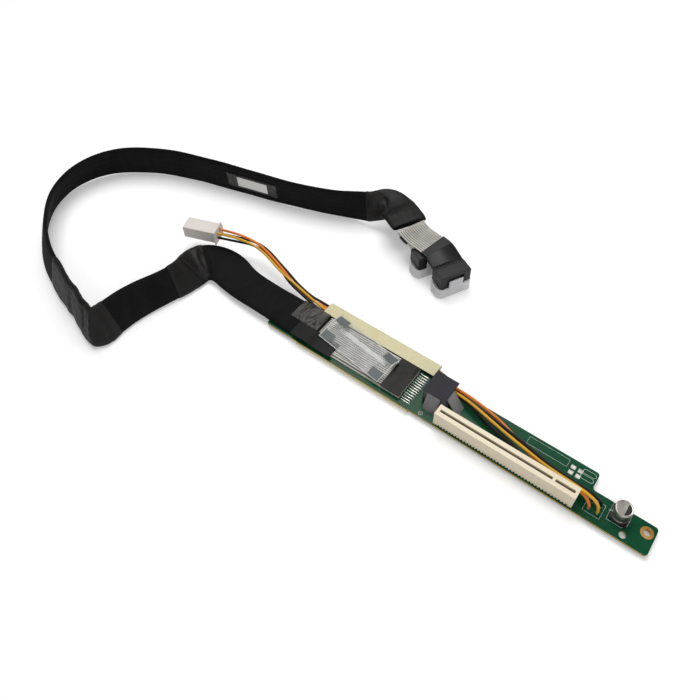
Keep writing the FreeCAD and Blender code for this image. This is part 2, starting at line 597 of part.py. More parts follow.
class Strip:
    """Strip of oblong sections along a route of (x, y, z, lean, width) rows."""

    def __init__(self, rows, thickness, rest, label, steps=4):
        self.rows = [list(row) for row in rows]
        self.thickness = thickness
        self.rest = rest
        for row in self.rows:
            row[2] = max(row[2], self.resting_height(row[3], row[4]))
        points = [Vector(*row[:3]) for row in self.rows]
        self.stations = []
        length = 0.0
        for start, middle, end, first, last in path_pieces(points, label):
            if middle is None:
                curve = Part.LineSegment(start, end)
                count = 1
            else:
                curve = Part.Arc(start, middle, end)
                count = steps
            edge = curve.toShape()
            length += edge.Length
            for k in range(count):
                self.add_station(edge, k / count, first + (last - first) * k / count)
        self.add_station(edge, 1.0, last)
        self.length = length

    def resting_height(self, lean, width):
        lean = math.radians(lean)
        return self.rest + width / 2 * abs(math.sin(lean)) + self.thickness / 2 * abs(math.cos(lean))

    def add_station(self, edge, share, place):
        along = edge.FirstParameter + (edge.LastParameter - edge.FirstParameter) * share
        point = edge.valueAt(along)
        heading = edge.tangentAt(along)
        index = min(int(place), len(self.rows) - 2)
        blend = place - index
        lean, width = (self.rows[index][k] * (1 - blend) + self.rows[index + 1][k] * blend for k in (3, 4))
        point.z = max(point.z, self.resting_height(lean, width))
        side = Vector(heading.y, -heading.x, 0).normalize()
        over = side.cross(heading)
        lean = math.radians(lean)
        across = side * math.cos(lean) + over * math.sin(lean)
        self.stations.append((place, point, heading, across, heading.cross(across), width))

    def solid(self, first, last, low, high, inner, outer, widen=0.0):
        """Loft over the stations from first to last place.

        low and high are shares of the half width, inner and outer distances from the middle plane.
        """
        sections = []
        for place, point, heading, across, face, width in self.stations:
            if first <= place <= last:
                reach = width / 2 + widen
                corners = [point + across * (u * reach) + face * v for u, v in
                           ((low, inner), (high, inner), (high, outer), (low, outer))]
                sections.append(Part.makePolygon(corners + corners[:1]))
        return Part.makeLoft(sections, True, True)

    def whole(self):
        half = self.thickness / 2
        return self.solid(0, len(self.rows), -1, 1, -half, half)

    def wrap(self, first, last, extra):
        half = self.thickness / 2
        outer = self.solid(first, last, -1, 1, -half - extra, half + extra, extra)
        return outer.cut(self.solid(first, last, -1, 1, -half, half))


CABLE_ROUTE = [
    (-223.6, 2.3, 1.8, 0, 26.2), (-248.6, 2.3, 1.8, 0, 26.2), (-272.0, 2.4, 1.8, 0, 26.2),
    (-296.0, 4.0, 0.6, 0, 26.5), (-315.5, 9.0, 0.8, 2, 29), (-329.0, 0.8, 3.5, 19, 28.5),
    (-326.0, -13.5, 5.0, 46, 24), (-325.0, -27.0, 0, 69, 25), (-335.5, -61.0, 0, 71, 26.5),
    (-334.8, -88.5, 0, 68, 27), (-351.0, -84.0, 0, 72, 27), (-373.0, -78.0, 0, 72, 27),
    (-393.8, -72.0, 0, 71, 27), (-415.0, -64.2, 0, 69, 27), (-434.0, -52.2, 0, 69, 27),
    (-454.0, -34.0, 0, 69, 27), (-464.5, -17.0, 0, 69, 27), (-469.4, 4.0, 0, 70, 27),
    (-463.2, 26.4, 0, 76, 27), (-446.3, 45.0, 0, 84, 27), (-415.5, 62.0, 0, 88, 27),
    (-368.3, 74.5, 0, 87, 27), (-323.0, 85.2, 0, 84, 27), (-290.0, 96.2, 0, 83, 27),
    (-270.5, 106.0, 0, 90, 27), (-257.5, 110.5, 12.6, 124, 20), (-246.5, 118.5, 19.0, 178, 26.5),
    (-223.4, 105.0, 18.5, 180, 25.5),
]
cable_rest = FLOOR + size("wrap_thickness") * math.sqrt(2)
cable = Strip(CABLE_ROUTE, size("cable_thickness"), cable_rest, "flat cable")
cable_solid = cable.whole()
areas = sum((a[5] + b[5]) / 2 * cable.thickness * (b[1] - a[1]).Length
            for a, b in zip(cable.stations, cable.stations[1:]))
print("flat cable length", round(cable.length, 1), "mm, volume over section times length",
      round(cable_solid.Volume / areas, 4))
node(shaped("FlatCable", cable_solid), "flat_cable")
node(shaped("NeckTape", cable.wrap(5.5, 7.0, size("wrap_thickness"))), "neck_tape")
node(shaped("CornerTape", cable.wrap(9.44, 11.0, size("wrap_thickness"))), "corner_tape")
node(shaped("EndFoldTape", cable.wrap(26.24, 27.0, size("wrap_thickness"))), "end_fold_tape")
face = size("cable_thickness") / 2
film_out = face + size("label_thickness")
laminate_share = size("laminate_height") / size("cable_width")
label_share = size("label_height") / size("cable_width")
node(shaped("LabelLaminate", cable.solid(20.9, 21.9, -laminate_share, laminate_share, face, film_out)),
     "label_laminate")
node(shaped("CableLabel", cable.solid(21.1, 21.7, -label_share, label_share, film_out,
                                      film_out + size("label_thickness"))), "cable_label")


# Data plugs: two ribbons leave the cable, each into a plug head that sits in a dust cap
# The last places of each ribbon are (distance before the head, height) pairs on the head's axis.
head_back = {"a": Vector(-183.0, 91.7, 0), "b": Vector(-205.2, 98.3, 0)}
RIBBON_ROUTES = {
    "a": ([(-221.4, 103.6, 19.0), (-214.6, 100.9, 17.4), (-204.5, 99.4, 17.0)],
          [(12.5, 16.8), (6.0, 15.5), (0.3, 14.5)]),
    "b": ([(-221.8, 103.8, 17.1), (-216.6, 101.7, 15.4)], [(5.0, 14.3), (0.3, 14.3)]),
}
head_turn = Rotation(Vector(0, 0, 1), size("head_yaw"))
head_way = head_turn.multVec(Vector(1, 0, 0))
head_low = size("head_top") - size("head_height")
for tag in ("a", "b"):
    free, guided = RIBBON_ROUTES[tag]
    guided = [tuple(head_back[tag] - head_way * back + Vector(0, 0, z)) for back, z in guided]
    rows = [row + (180, size("end_ribbon_width")) for row in free + guided]
    ribbon = Strip(rows, size("end_ribbon_thickness"), FLOOR, f"ribbon {tag}")
    node(shaped(f"Ribbon{tag}", ribbon.whole()), f"ribbon_{tag}")
    collar_places = (2.4, 3.6) if tag == "a" else (0.5, 1.4)
    collar = ribbon.wrap(*collar_places, size("collar_thickness"))
    node(shaped(f"RibbonCollar{tag}", collar), f"ribbon_collar_{tag}")
    place = Placement(head_back[tag], head_turn)
    profile = [(0, head_low), (size("head_length"), head_low), (size("head_length"), size("head_top")),
               (size("head_slope"), size("head_top")), (0, size("head_top") - size("head_slope_drop"))]
    shell = solid_from_outline([Vector(x, -size("head_width") / 2, z) for x, z in profile],
                               Vector(0, size("head_width"), 0))
    head_shell = shaped(f"HeadShell{tag}", shell)
    recess = block(f"HeadRecess{tag}", "recess_depth + 1", "recess_width", "recess_height + 1",
                   "head_length - recess_depth", "-recess_width / 2", "head_top - head_height - 1")
    nose = block(f"HeadNose{tag}", "nose_length", "nose_width", "nose_height",
                 "(head_length - nose_length - recess_depth)", "-nose_width / 2",
                 "head_top - head_height - nose_height")
    mouth = block(f"HeadMouth{tag}", "nose_length - 2 * nose_wall", "nose_width - 2 * nose_wall",
                  "nose_height + 1", "(head_length - nose_length - recess_depth + nose_wall)",
                  "nose_wall - nose_width / 2", "head_top - head_height - nose_height - 1")
    head = cut(f"Head{tag}", join(f"HeadBlank{tag}", [cut(f"HeadCut{tag}", head_shell, recess), nose]),
               mouth)
    node(head, f"plug_head_{tag}").Placement = place
    blade_count = int((size("nose_width") - 2 * size("nose_wall")) / size("blade_pitch"))
    blades = []
    for i in range(blade_count):
        for first in ("(head_length - nose_length - recess_depth + nose_wall)",
                      "(head_length - recess_depth - nose_wall - blade_thickness)"):
            blades.append(block(f"Blade{tag}", "blade_thickness", "blade_width", "blade_length", first,
                                f"(({i} - {blade_count - 1} / 2) * blade_pitch - blade_width / 2)",
                                "head_top - head_height - blade_length"))
    node(group(f"Blades{tag}", blades), f"plug_blades_{tag}").Placement = place
    cap_x = "(head_length + cap_past_head - cap_length)"
    cap_low = "(-board_thickness - stand_height)"
    cap_high = "(head_top - head_height - cap_gap)"
    cap_blank = block(f"CapBlank{tag}", "cap_length", "cap_width", f"{cap_high} - {cap_low}", cap_x,
                      "-cap_width / 2", cap_low)
    doc.recompute()
    cap_edges = [i for i, edge in enumerate(cap_blank.Shape.Edges, start=1)
                 if abs(edge.Vertexes[0].Z - edge.Vertexes[-1].Z) > 1]
    cap_outer = doc.addObject("Part::Fillet", f"CapOuter{tag}")
    cap_outer.Base = cap_blank
    cap_outer.Edges = [(i, size("cap_round"), size("cap_round")) for i in cap_edges]
    cap_inner = block(f"CapInner{tag}", "cap_length - 2 * cap_wall", "cap_width - 2 * cap_wall",
                      f"{cap_high} - {cap_low} + 1", f"{cap_x} + cap_wall", "cap_wall - cap_width / 2",
                      f"{cap_low} + cap_wall")
    doc.recompute()
    inner_edges = [i for i, edge in enumerate(cap_inner.Shape.Edges, start=1)
                   if abs(edge.Vertexes[0].Z - edge.Vertexes[-1].Z) > 1]
    cap_hollow = doc.addObject("Part::Fillet", f"CapHollow{tag}")
    cap_hollow.Base = cap_inner
    inner_round = size("cap_round") - size("cap_wall")
    cap_hollow.Edges = [(i, inner_round, inner_round) for i in inner_edges]
    tongue = block(f"CapTongue{tag}", "cap_wall", "tongue_width", f"{cap_high} - {cap_low} + tongue_rise",
                   "(head_length + cap_past_head - cap_wall)", "-tongue_width / 2", cap_low)
    cap = join(f"Cap{tag}", [cut(f"CapShell{tag}", cap_outer, cap_hollow), tongue])
    node(cap, f"dust_cap_{tag}").Placement = place

# White plug of the power wires: four cavities, a flange, a latch and four terminals
plug_place = Placement(Vector(-352.2, 7.3, FLOOR + size("plug_rise")),
                       Rotation(Vector(0, 0, 1), size("plug_yaw")))
plug_shell = join("PlugShell", [
    block("PlugBody", "plug_length", "plug_width", "plug_height"),
    block("PlugFlange", "plug_flange", "plug_width + 2 * plug_flange_lip",
          "plug_height + 2 * plug_flange_lip", "plug_length - plug_flange", "-plug_flange_lip",
          "-plug_flange_lip"),
    block("PlugLatch", "latch_length", "latch_height", "latch_width", "plug_length - latch_length",
          "plug_width", "(plug_height - latch_width) / 2"),
])
cavities = []
terminals = []
for i in (-1, 1):
    for j in (-1, 1):
        y = f"(plug_width / 2 + {i} * plug_pitch / 2)"
        z = f"(plug_height / 2 + {j} * plug_pitch / 2)"
        cavities.append(block("PlugCavity", "cavity_depth + 1", "cavity_width", "cavity_width", "-1",
                              f"{y} - cavity_width / 2", f"{z} - cavity_width / 2"))
        terminals.append(block("PlugTerminal", "terminal_length", "terminal_width", "terminal_width",
                               "cavity_depth - terminal_length", f"{y} - terminal_width / 2",
                               f"{z} - terminal_width / 2"))
plug = cut("PlugHousing", plug_shell, group("PlugCavities", cavities))
node(plug, "power_plug_housing").Placement = plug_place
node(group("PlugTerminals", terminals), "power_plug_terminals").Placement = plug_place

# Power wires: from their joints, along the slot and the back of the ribbons, to the plug
# Each row: place of the joint, place in the plug, rise above the joint, points in between.
WIRE_ROUTES = {
    "orange": ((0, 0), (1, 1), 3.4, [
        (-37.6, -2.5, 6.4), (-48.0, -2.6, 6.2), (-60.0, -1.8, 6.0), (-73.0, 1.6, 5.4),
        (-92.0, 9.8, 5.6), (-115.0, 13.4, 6.6), (-128.0, 13.4, 6.8), (-134.0, 15.6, 4.9),
        (-140.0, 20.0, 2.4), (-144.0, 20.2, 1.0), (-232.0, 20.2, 1.0),
        (-239.0, 19.9, 1.2), (-246.0, 18.7, 2.2), (-260.0, 20.6, 4.3), (-268.0, 23.0, 7.1),
        (-278.0, 25.3, 10.0), (-294.0, 29.6, 12.0), (-306.0, 30.3, 13.6)]),
    "yellow": ((1, 0), (-1, 1), 5.6, [
        (-31.5, -4.0, 9.4), (-42.0, -2.5, 8.8), (-58.0, -2.0, 8.6), (-73.0, 0.6, 8.4),
        (-92.0, 4.7, 7.0), (-115.0, 10.4, 6.2), (-128.0, 10.9, 6.8), (-134.0, 13.0, 4.9),
        (-140.0, 17.9, 2.3), (-144.0, 18.3, 1.0), (-232.0, 18.3, 1.0),
        (-239.0, 18.3, 2.9), (-246.0, 18.7, 4.4), (-260.0, 20.6, 6.6), (-268.0, 21.1, 8.3),
        (-278.0, 23.3, 8.9), (-294.0, 27.7, 10.9), (-306.0, 27.6, 12.9)]),
    "black_outer": ((1, 1), (1, -1), 4.0, [
        (-32.0, -0.8, 7.2), (-43.0, -0.2, 7.2), (-58.0, 0.3, 7.6), (-73.0, 3.2, 8.0),
        (-92.0, 6.9, 7.4), (-115.0, 12.0, 3.9), (-128.0, 13.2, 4.6), (-134.0, 17.4, 2.2),
        (-140.0, 22.1, 1.0), (-232.0, 22.1, 1.0), (-239.0, 21.9, 1.7),
        (-246.0, 20.6, 3.3), (-260.0, 22.6, 5.5), (-268.0, 24.9, 7.1), (-278.0, 27.2, 8.9),
        (-294.0, 31.6, 10.9), (-306.0, 31.6, 11.4)]),
    "black_inner": ((0, 1), (-1, -1), 2.6, [
        (-36.5, -0.6, 4.8), (-46.0, -0.2, 4.8), (-60.0, -0.2, 3.6), (-73.0, -0.6, 3.2),
        (-92.0, 2.6, 4.6), (-115.0, 9.7, 3.8), (-128.0, 10.9, 4.5), (-134.0, 13.6, 1.9),
        (-140.0, 16.4, 1.0), (-232.0, 16.4, 1.0), (-239.0, 16.5, 1.6),
        (-246.0, 16.8, 3.3), (-260.0, 18.7, 5.5), (-268.0, 21.1, 5.9), (-278.0, 25.3, 7.7),
        (-294.0, 29.6, 9.7), (-306.0, 29.0, 10.6)]),
}
for name, ((column, line), (across, up), rise, inner_points) in WIRE_ROUTES.items():
    joint_top = Vector(-size("joint_to_hole") + column * size("joint_pitch_long"),
                       size("joint_to_front") - size("hole_to_front") + line * size("joint_pitch_cross"),
                       size("joint_height"))
    plug_y = size("plug_width") / 2 + across * size("plug_pitch") / 2
    plug_z = size("plug_height") / 2 + up * size("plug_pitch") / 2
    plug_end = plug_place.multVec(Vector(size("plug_length"), plug_y, plug_z))
    plug_lead = plug_place.multVec(Vector(size("plug_length") + size("plug_lead_in"), plug_y, plug_z))
    points = [joint_top, joint_top + Vector(0, 0, rise)]
    points += [Vector(*point) for point in inner_points]
    points += [plug_lead, plug_end]
    wire = tube(points, size("wire_diameter"), f"{name} wire")
    node(shaped(f"Wire{name}", wire), f"{name}_wire")

# Check every object, then write one file for each sub-part
doc.recompute()
for item in doc.Objects:
    if "Invalid" in item.State or "Error" in item.State:
        raise RuntimeError(f"{item.Label} failed: {item.State}")
for item in NODES:
    if item.Shape.isNull() or not item.Shape.isValid():
        raise RuntimeError(f"{item.Label} has a bad shape")
os.makedirs("parts", exist_ok=True)
for item in NODES:
    item.Shape.exportStep(f"parts/{item.Label}.step")
    print(item.Label, len(item.Shape.Solids), "solids,", round(item.Shape.Volume, 1), "mm3")
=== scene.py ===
import math

import bmesh
import bpy
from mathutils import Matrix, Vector, noise


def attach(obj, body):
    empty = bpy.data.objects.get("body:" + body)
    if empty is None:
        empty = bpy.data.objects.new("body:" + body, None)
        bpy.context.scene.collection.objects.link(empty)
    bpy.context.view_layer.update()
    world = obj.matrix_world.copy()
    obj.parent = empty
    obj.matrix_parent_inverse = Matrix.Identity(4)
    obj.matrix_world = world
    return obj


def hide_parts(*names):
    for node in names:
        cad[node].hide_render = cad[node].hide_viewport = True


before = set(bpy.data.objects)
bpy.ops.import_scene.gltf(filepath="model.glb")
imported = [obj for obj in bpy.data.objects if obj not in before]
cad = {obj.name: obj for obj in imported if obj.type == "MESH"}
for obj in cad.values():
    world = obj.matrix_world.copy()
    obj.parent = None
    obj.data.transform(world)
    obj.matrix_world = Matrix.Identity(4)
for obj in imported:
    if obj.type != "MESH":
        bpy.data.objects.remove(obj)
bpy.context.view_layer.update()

# Riser card with a flat cable tail. Metres, +Z up, origin at the plated screw hole.
scene = bpy.context.scene
floorHeight = -0.0036
softening = {"merge": 0.00001, "flatAngle": 1, "sharpAngle": 35}


def tint(red, green, blue):
    # a colour written in 0 to 255, as the linear colour that Blender works in
    shares = [channel / 255 for channel in (red, green, blue)]
    return (*(s / 12.92 if s < 0.04045 else ((s + 0.055) / 1.055) ** 2.4 for s in shares), 1.0)


def addObject(name, data):
    piece = bpy.data.objects.new(name, data)
    scene.collection.objects.link(piece)
    return piece


def addMesh(name, places, faces, smooth=True):
    mesh = bpy.data.meshes.new(name)
    mesh.from_pydata([tuple(place) for place in places], [], faces)
    mesh.polygons.foreach_set("use_smooth", [smooth] * len(mesh.polygons))
    return addObject(name, mesh)


def paint(piece, material):
    piece.data.materials.clear()
    piece.data.materials.append(material)
    return piece


def settle(piece, material, slot, *replaced):
    paint(piece, material)
    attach(piece, "root")
    if replaced:
        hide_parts(*replaced)
    return piece


def softened(name, node, width, segments=2):
    # a copy of a CAD node with its sharp edges rounded
    mesh = cad[node].data.copy()
    work = bmesh.new()
    work.from_mesh(mesh)
    bmesh.ops.remove_doubles(work, verts=work.verts, dist=softening["merge"])
    bmesh.ops.dissolve_limit(work, angle_limit=math.radians(softening["flatAngle"]), verts=work.verts,
                             edges=work.edges)
    work.to_mesh(mesh)
    work.free()
    mesh.materials.clear()
    piece = addObject(name, mesh)
    bevel = piece.modifiers.new("Softened edges", "BEVEL")
    bevel.width = width
    bevel.segments = segments
    bevel.limit_method = "ANGLE"
    bevel.angle_limit = math.radians(softening["sharpAngle"])
    bevel.use_clamp_overlap = True
    bevel.harden_normals = False
    mesh.polygons.foreach_set("use_smooth", [False] * len(mesh.polygons))
    return piece


# shader groups shared by several finishes

def plug(tree, value, socket):
    if isinstance(value, bpy.types.NodeSocket):
        tree.links.new(value, socket)
    else:
        socket.default_value = value


def reckon(tree, operation, *values):
    node = tree.nodes.new("ShaderNodeMath")
    node.operation = operation
    for socket, value in zip(node.inputs, values):
        plug(tree, value, socket)
    return node.outputs[0]


def blendColours(tree, share, first, second):
    node = tree.nodes.new("ShaderNodeMix")
    node.data_type = "RGBA"
    plug(tree, share, node.inputs[0])
    plug(tree, first, node.inputs[6])
    plug(tree, second, node.inputs[7])
    return node.outputs[2]


def shaderGroup(name, inputs, outputs):
    group = bpy.data.node_groups.new(name, "ShaderNodeTree")
    for label, kind, value in inputs:
        socket = group.interface.new_socket(label, in_out="INPUT", socket_type="NodeSocket" + kind)
        if value is not None:
            socket.default_value = value
    for label, kind in outputs:
        group.interface.new_socket(label, in_out="OUTPUT", socket_type="NodeSocket" + kind)
    return group, group.nodes.new("NodeGroupInput"), group.nodes.new("NodeGroupOutput")


def stretchedBy(tree, vector, factors):
    node = tree.nodes.new("ShaderNodeVectorMath")
    node.operation = "MULTIPLY"
    plug(tree, vector, node.inputs[0])
    plug(tree, factors, node.inputs[1])
    return node.outputs[0]


def axesOf(tree, vector):
    node = tree.nodes.new("ShaderNodeSeparateXYZ")
    plug(tree, vector, node.inputs[0])
    return node.outputs


def noiseIn(tree, vector, scale, detail, roughness=0.55, distortion=0.0):
    node = tree.nodes.new("ShaderNodeTexNoise")
    plug(tree, vector, node.inputs["Vector"])
    plug(tree, scale, node.inputs["Scale"])
    node.inputs["Detail"].default_value = detail
    node.inputs["Roughness"].default_value = roughness
    node.inputs["Distortion"].default_value = distortion
    return node.outputs[0]


def makeGrainGroup():
    group, given, made = shaderGroup(
        "surfaceGrain",
        [("Vector", "Vector", None), ("Scale", "Float", 400.0), ("Dark", "Color", (0, 0, 0, 1)),
         ("Light", "Color", (1, 1, 1, 1)), ("Rough low", "Float", 0.4), ("Rough high", "Float", 0.6)],
        [("Colour", "Color"), ("Roughness", "Float"), ("Height", "Float")])
    scale = given.outputs["Scale"]
    slow = noiseIn(group, given.outputs["Vector"], reckon(group, "MULTIPLY", scale, 0.08), 3.0)
    fine = noiseIn(group, given.outputs["Vector"], scale, 4.0)
    mixed = reckon(group, "ADD", reckon(group, "MULTIPLY", slow, 0.65),
                   reckon(group, "MULTIPLY", fine, 0.35))
    share = reckon(group, "MULTIPLY_ADD", mixed, 2.6, -0.8)
    share.node.use_clamp = True
    colour = blendColours(group, share, given.outputs["Dark"], given.outputs["Light"])
    span = reckon(group, "SUBTRACT", given.outputs["Rough high"], given.outputs["Rough low"])
    rough = reckon(group, "MULTIPLY_ADD", share, span, given.outputs["Rough low"])
    plug(group, colour, made.inputs["Colour"])
    plug(group, rough, made.inputs["Roughness"])
    plug(group, fine, made.inputs["Height"])
    return group


def makeWeaveGroup():
    group, given, made = shaderGroup(
        "wovenThreads",
        [("Vector", "Vector", None), ("Threads per metre", "Float", 1400.0), ("Colour", "Color", None),
         ("Gap share", "Float", 0.45)],
        [("Colour", "Color"), ("Height", "Float")])
    turns = reckon(group, "MULTIPLY", given.outputs["Threads per metre"], math.pi)
    waves = [reckon(group, "SINE", reckon(group, "MULTIPLY", axis, turns))
             for axis in axesOf(group, given.outputs["Vector"])[:2]]
    over = reckon(group, "GREATER_THAN", reckon(group, "MULTIPLY", waves[0], waves[1]), 0.0)
    warp, weft = (reckon(group, "ABSOLUTE", wave) for wave in waves)
    lift = reckon(group, "ADD", reckon(group, "MULTIPLY", warp, over),
                  reckon(group, "MULTIPLY", weft, reckon(group, "SUBTRACT", 1.0, over)))
    # threads are darkened where they dip between crossings, by Gap share: painted shade in the weave's gaps
    depth = reckon(group, "SUBTRACT", 1.0, given.outputs["Gap share"])
    shade = reckon(group, "MULTIPLY_ADD", lift, given.outputs["Gap share"], depth)
    bright = group.nodes.new("ShaderNodeVectorMath")
    bright.operation = "SCALE"
    plug(group, given.outputs["Colour"], bright.inputs[0])
    plug(group, shade, bright.inputs["Scale"])
    plug(group, bright.outputs[0], made.inputs["Colour"])
    plug(group, lift, made.inputs["Height"])
    return group


def makeCreaseGroup():
    group, given, made = shaderGroup(
        "pressedCreases",
        [("Vector", "Vector", None), ("Scale", "Float", 60.0), ("Stretch", "Vector", (1.0, 0.3, 1.0)),
         ("Sharpness", "Float", 6.0)],
        [("Height", "Float"), ("Mask", "Float")])
    stretched = stretchedBy(group, given.outputs["Vector"], given.outputs["Stretch"])
    broad = noiseIn(group, stretched, given.outputs["Scale"], 2.0, 0.5, 0.6)
    bent = reckon(group, "ABSOLUTE", reckon(group, "SUBTRACT", broad, 0.5))
    ridge = reckon(group, "SUBTRACT", 1.0, reckon(group, "MULTIPLY", bent, given.outputs["Sharpness"]))
    ridge.node.use_clamp = True
    height = reckon(group, "ADD", reckon(group, "MULTIPLY", ridge, 0.6), broad)
    plug(group, height, made.inputs["Height"])
    plug(group, ridge, made.inputs["Mask"])
    return group


def makeSpeckGroup():
    group, given, made = shaderGroup(
        "dustSpecks",
        [("Vector", "Vector", None), ("Scale", "Float", 300.0), ("Size", "Float", 0.12)],
        [("Mask", "Float")])
    cells = group.nodes.new("ShaderNodeTexVoronoi")
    plug(group, given.outputs["Vector"], cells.inputs["Vector"])
    plug(group, given.outputs["Scale"], cells.inputs["Scale"])
    near = reckon(group, "LESS_THAN", cells.outputs["Distance"], given.outputs["Size"])
    patches = noiseIn(group, given.outputs["Vector"],
                      reckon(group, "MULTIPLY", given.outputs["Scale"], 0.11), 2.0)
    here = reckon(group, "GREATER_THAN", patches, 0.56)
    plug(group, reckon(group, "MULTIPLY", near, here), made.inputs["Mask"])
    return group


grainGroup = makeGrainGroup()
weaveGroup = makeWeaveGroup()
creaseGroup = makeCreaseGroup()
speckGroup = makeSpeckGroup()


def newFinish(name, **constants):
    material = bpy.data.materials.new(name)
    material.use_nodes = True
    tree = material.node_tree
    shader = tree.nodes["Principled BSDF"]
    for label, value in constants.items():
        shader.inputs[label.replace("_", " ")].default_value = value
    return material, tree, shader


def useGroup(tree, group, **values):
    node = tree.nodes.new("ShaderNodeGroup")
    node.node_tree = group
    for label, value in values.items():
        plug(tree, value, node.inputs[label.replace("_", " ")])
    return node.outputs


def objectSpot(tree):
    return tree.nodes.new("ShaderNodeTexCoord").outputs["Object"]


def surfaceSpot(tree):
    return tree.nodes.new("ShaderNodeUVMap").outputs["UV"]


def bump(tree, shader, height, distance):
    node = tree.nodes.new("ShaderNodeBump")
    node.inputs["Strength"].default_value = 1.0
    node.inputs["Distance"].default_value = distance
    plug(tree, height, node.inputs["Height"])
    tree.links.new(node.outputs[0], shader.inputs["Normal"])


def grainFinish(name, dark, light, scale, roughLow, roughHigh, relief, **constants):
    material, tree, shader = newFinish(name, **constants)
    made = useGroup(tree, grainGroup, Vector=objectSpot(tree), Scale=scale, Dark=dark, Light=light,
                    Rough_low=roughLow, Rough_high=roughHigh)
    tree.links.new(made["Colour"], shader.inputs["Base Color"])
    tree.links.new(made["Roughness"], shader.inputs["Roughness"])
    bump(tree, shader, made["Height"], relief)
    return material


def clothFinish(name, colour, threads, gap, rough, creaseScale, creaseStretch, weaveRelief, creaseRelief,
                dust, **constants):
    material, tree, shader = newFinish(name, Roughness=rough, **constants)
    spot = surfaceSpot(tree)
    woven = useGroup(tree, weaveGroup, Vector=spot, Threads_per_metre=threads, Colour=colour, Gap_share=gap)
    creased = useGroup(tree, creaseGroup, Vector=spot, Scale=creaseScale, Stretch=creaseStretch,
                       Sharpness=7.0)
    specks = useGroup(tree, speckGroup, Vector=spot, Scale=260.0, Size=0.07)
    # crease ridges are painted lighter than the cloth: painted highlight on the creases
    ridgeHighlight = (*(min(1.0, channel * 2.2) for channel in colour[:3]), 1.0)
    highlightedCloth = blendColours(tree, reckon(tree, "MULTIPLY", creased["Mask"], 0.35), woven["Colour"], ridgeHighlight)
    dusty = blendColours(tree, reckon(tree, "MULTIPLY", specks["Mask"], dust), highlightedCloth, tint(120, 118, 112))
    tree.links.new(dusty, shader.inputs["Base Color"])
    height = reckon(tree, "ADD", reckon(tree, "MULTIPLY", woven["Height"], weaveRelief),
                    reckon(tree, "MULTIPLY", creased["Height"], creaseRelief))
    bump(tree, shader, height, 1.0)
    return material


def creasedFilm(name, spotOf, dark, light, scale, stretch, sharpness, depth, **constants):
    material, tree, shader = newFinish(name, **constants)
    made = useGroup(tree, creaseGroup, Vector=spotOf(tree), Scale=scale, Stretch=stretch,
                    Sharpness=sharpness)
    # the crease ridges take the light colour: painted highlight on the creases
    tree.links.new(blendColours(tree, made["Mask"], dark, light), shader.inputs["Base Color"])
    bump(tree, shader, made["Height"], depth)
    return material


print("shader groups made")


# camera, lamps, world and floor

cameraSettings = {"spot": (-0.0376, -0.2017, 0.3569), "tilt": 39.8, "heading": 36.3, "lens": 35.28,
                  "shift": (-0.0214, -0.0637)}
cameraData = bpy.data.cameras.new("Camera")
cameraData.lens = cameraSettings["lens"]
cameraData.sensor_width = 36
cameraData.shift_x, cameraData.shift_y = cameraSettings["shift"]
camera = addObject("Camera", cameraData)
camera.location = cameraSettings["spot"]
camera.rotation_euler = (math.radians(cameraSettings["tilt"]), 0, math.radians(cameraSettings["heading"]))
scene.camera = camera

lampAim = Vector((-0.22, 0.0, 0.0))
lampSettings = [
    # name, place, side and power
    ("KeyLamp", (-0.55, 0.35, 1.15), 0.9, 12.0),
    ("FillLamp", (0.55, -0.75, 0.95), 1.1, 7.6),
    ("SideLamp", (0.65, 0.65, 0.55), 0.8, 2.8),
]
for label, spot, side, power in lampSettings:
    lampData = bpy.data.lights.new(label, "AREA")
    lampData.size = side
    lampData.energy = power
    lamp = addObject(label, lampData)
    lamp.location = spot
    lamp.rotation_euler = (lampAim - lamp.location).to_track_quat("-Z", "Y").to_euler()


def seenDirectly(tree):
    # 1 for the camera's own rays and for those that pass through clear pieces
    rays = tree.nodes.new("ShaderNodeLightPath")
    return reckon(tree, "MAXIMUM", rays.outputs["Is Camera Ray"], rays.outputs["Is Transmission Ray"])


worldSettings = {"strength": 0.85, "seen": 1.0}
world = bpy.data.worlds.new("StudioWorld")
scene.world = world
world.use_nodes = True
worldTree = world.node_tree
sky = worldTree.nodes["Background"]
worldTree.links.new(reckon(worldTree, "MULTIPLY_ADD", seenDirectly(worldTree),
                           worldSettings["seen"] - worldSettings["strength"], worldSettings["strength"]),
                    sky.inputs["Strength"])

floorSettings = {"half": 3.0, "colour": (0.9, 0.9, 0.9, 1.0), "glow": 0.25}
half = floorSettings["half"]
floor = addMesh("StudioFloor", [(-half, -half, floorHeight), (half, -half, floorHeight),
                                (half, half, floorHeight), (-half, half, floorHeight)], [(0, 1, 2, 3)])
floorFinish, floorTree, floorShader = newFinish("floorPaper", Roughness=0.9, Specular_IOR_Level=0.1)
floorShader.inputs["Base Color"].default_value = floorSettings["colour"]
floorShader.inputs["Emission Color"].default_value = (1, 1, 1, 1)
floorTree.links.new(reckon(floorTree, "MULTIPLY", seenDirectly(floorTree), floorSettings["glow"]),
                    floorShader.inputs["Emission Strength"])
paint(floor, floorFinish)
scene.view_settings.view_transform = "Standard"
print("camera, lamps and floor set")


# smooth lines through the cords' own route points

def smoothLine(name, rows, perRun):
    curve = bpy.data.curves.new(name, "CURVE")
    curve.dimensions = "3D"
    curve.resolution_u = perRun
    line = curve.splines.new("NURBS")
    line.points.add(len(rows) - 1)
    for knot, row in zip(line.points, rows):
        knot.co = (*row[:3], 1.0)
    line.order_u = 3
    line.use_endpoint_u = True
    line.resolution_u = perRun
    return curve


def placesOn(curve):
    holder = addObject(curve.name, curve)
    bpy.context.view_layer.update()
    line = bpy.data.meshes.new_from_object(holder)
    places = [vertex.co.copy() for vertex in line.vertices]
    bpy.data.objects.remove(holder)
    return places


def lengthOf(places):
    return sum((b - a).length for a, b in zip(places, places[1:]))


# power wires

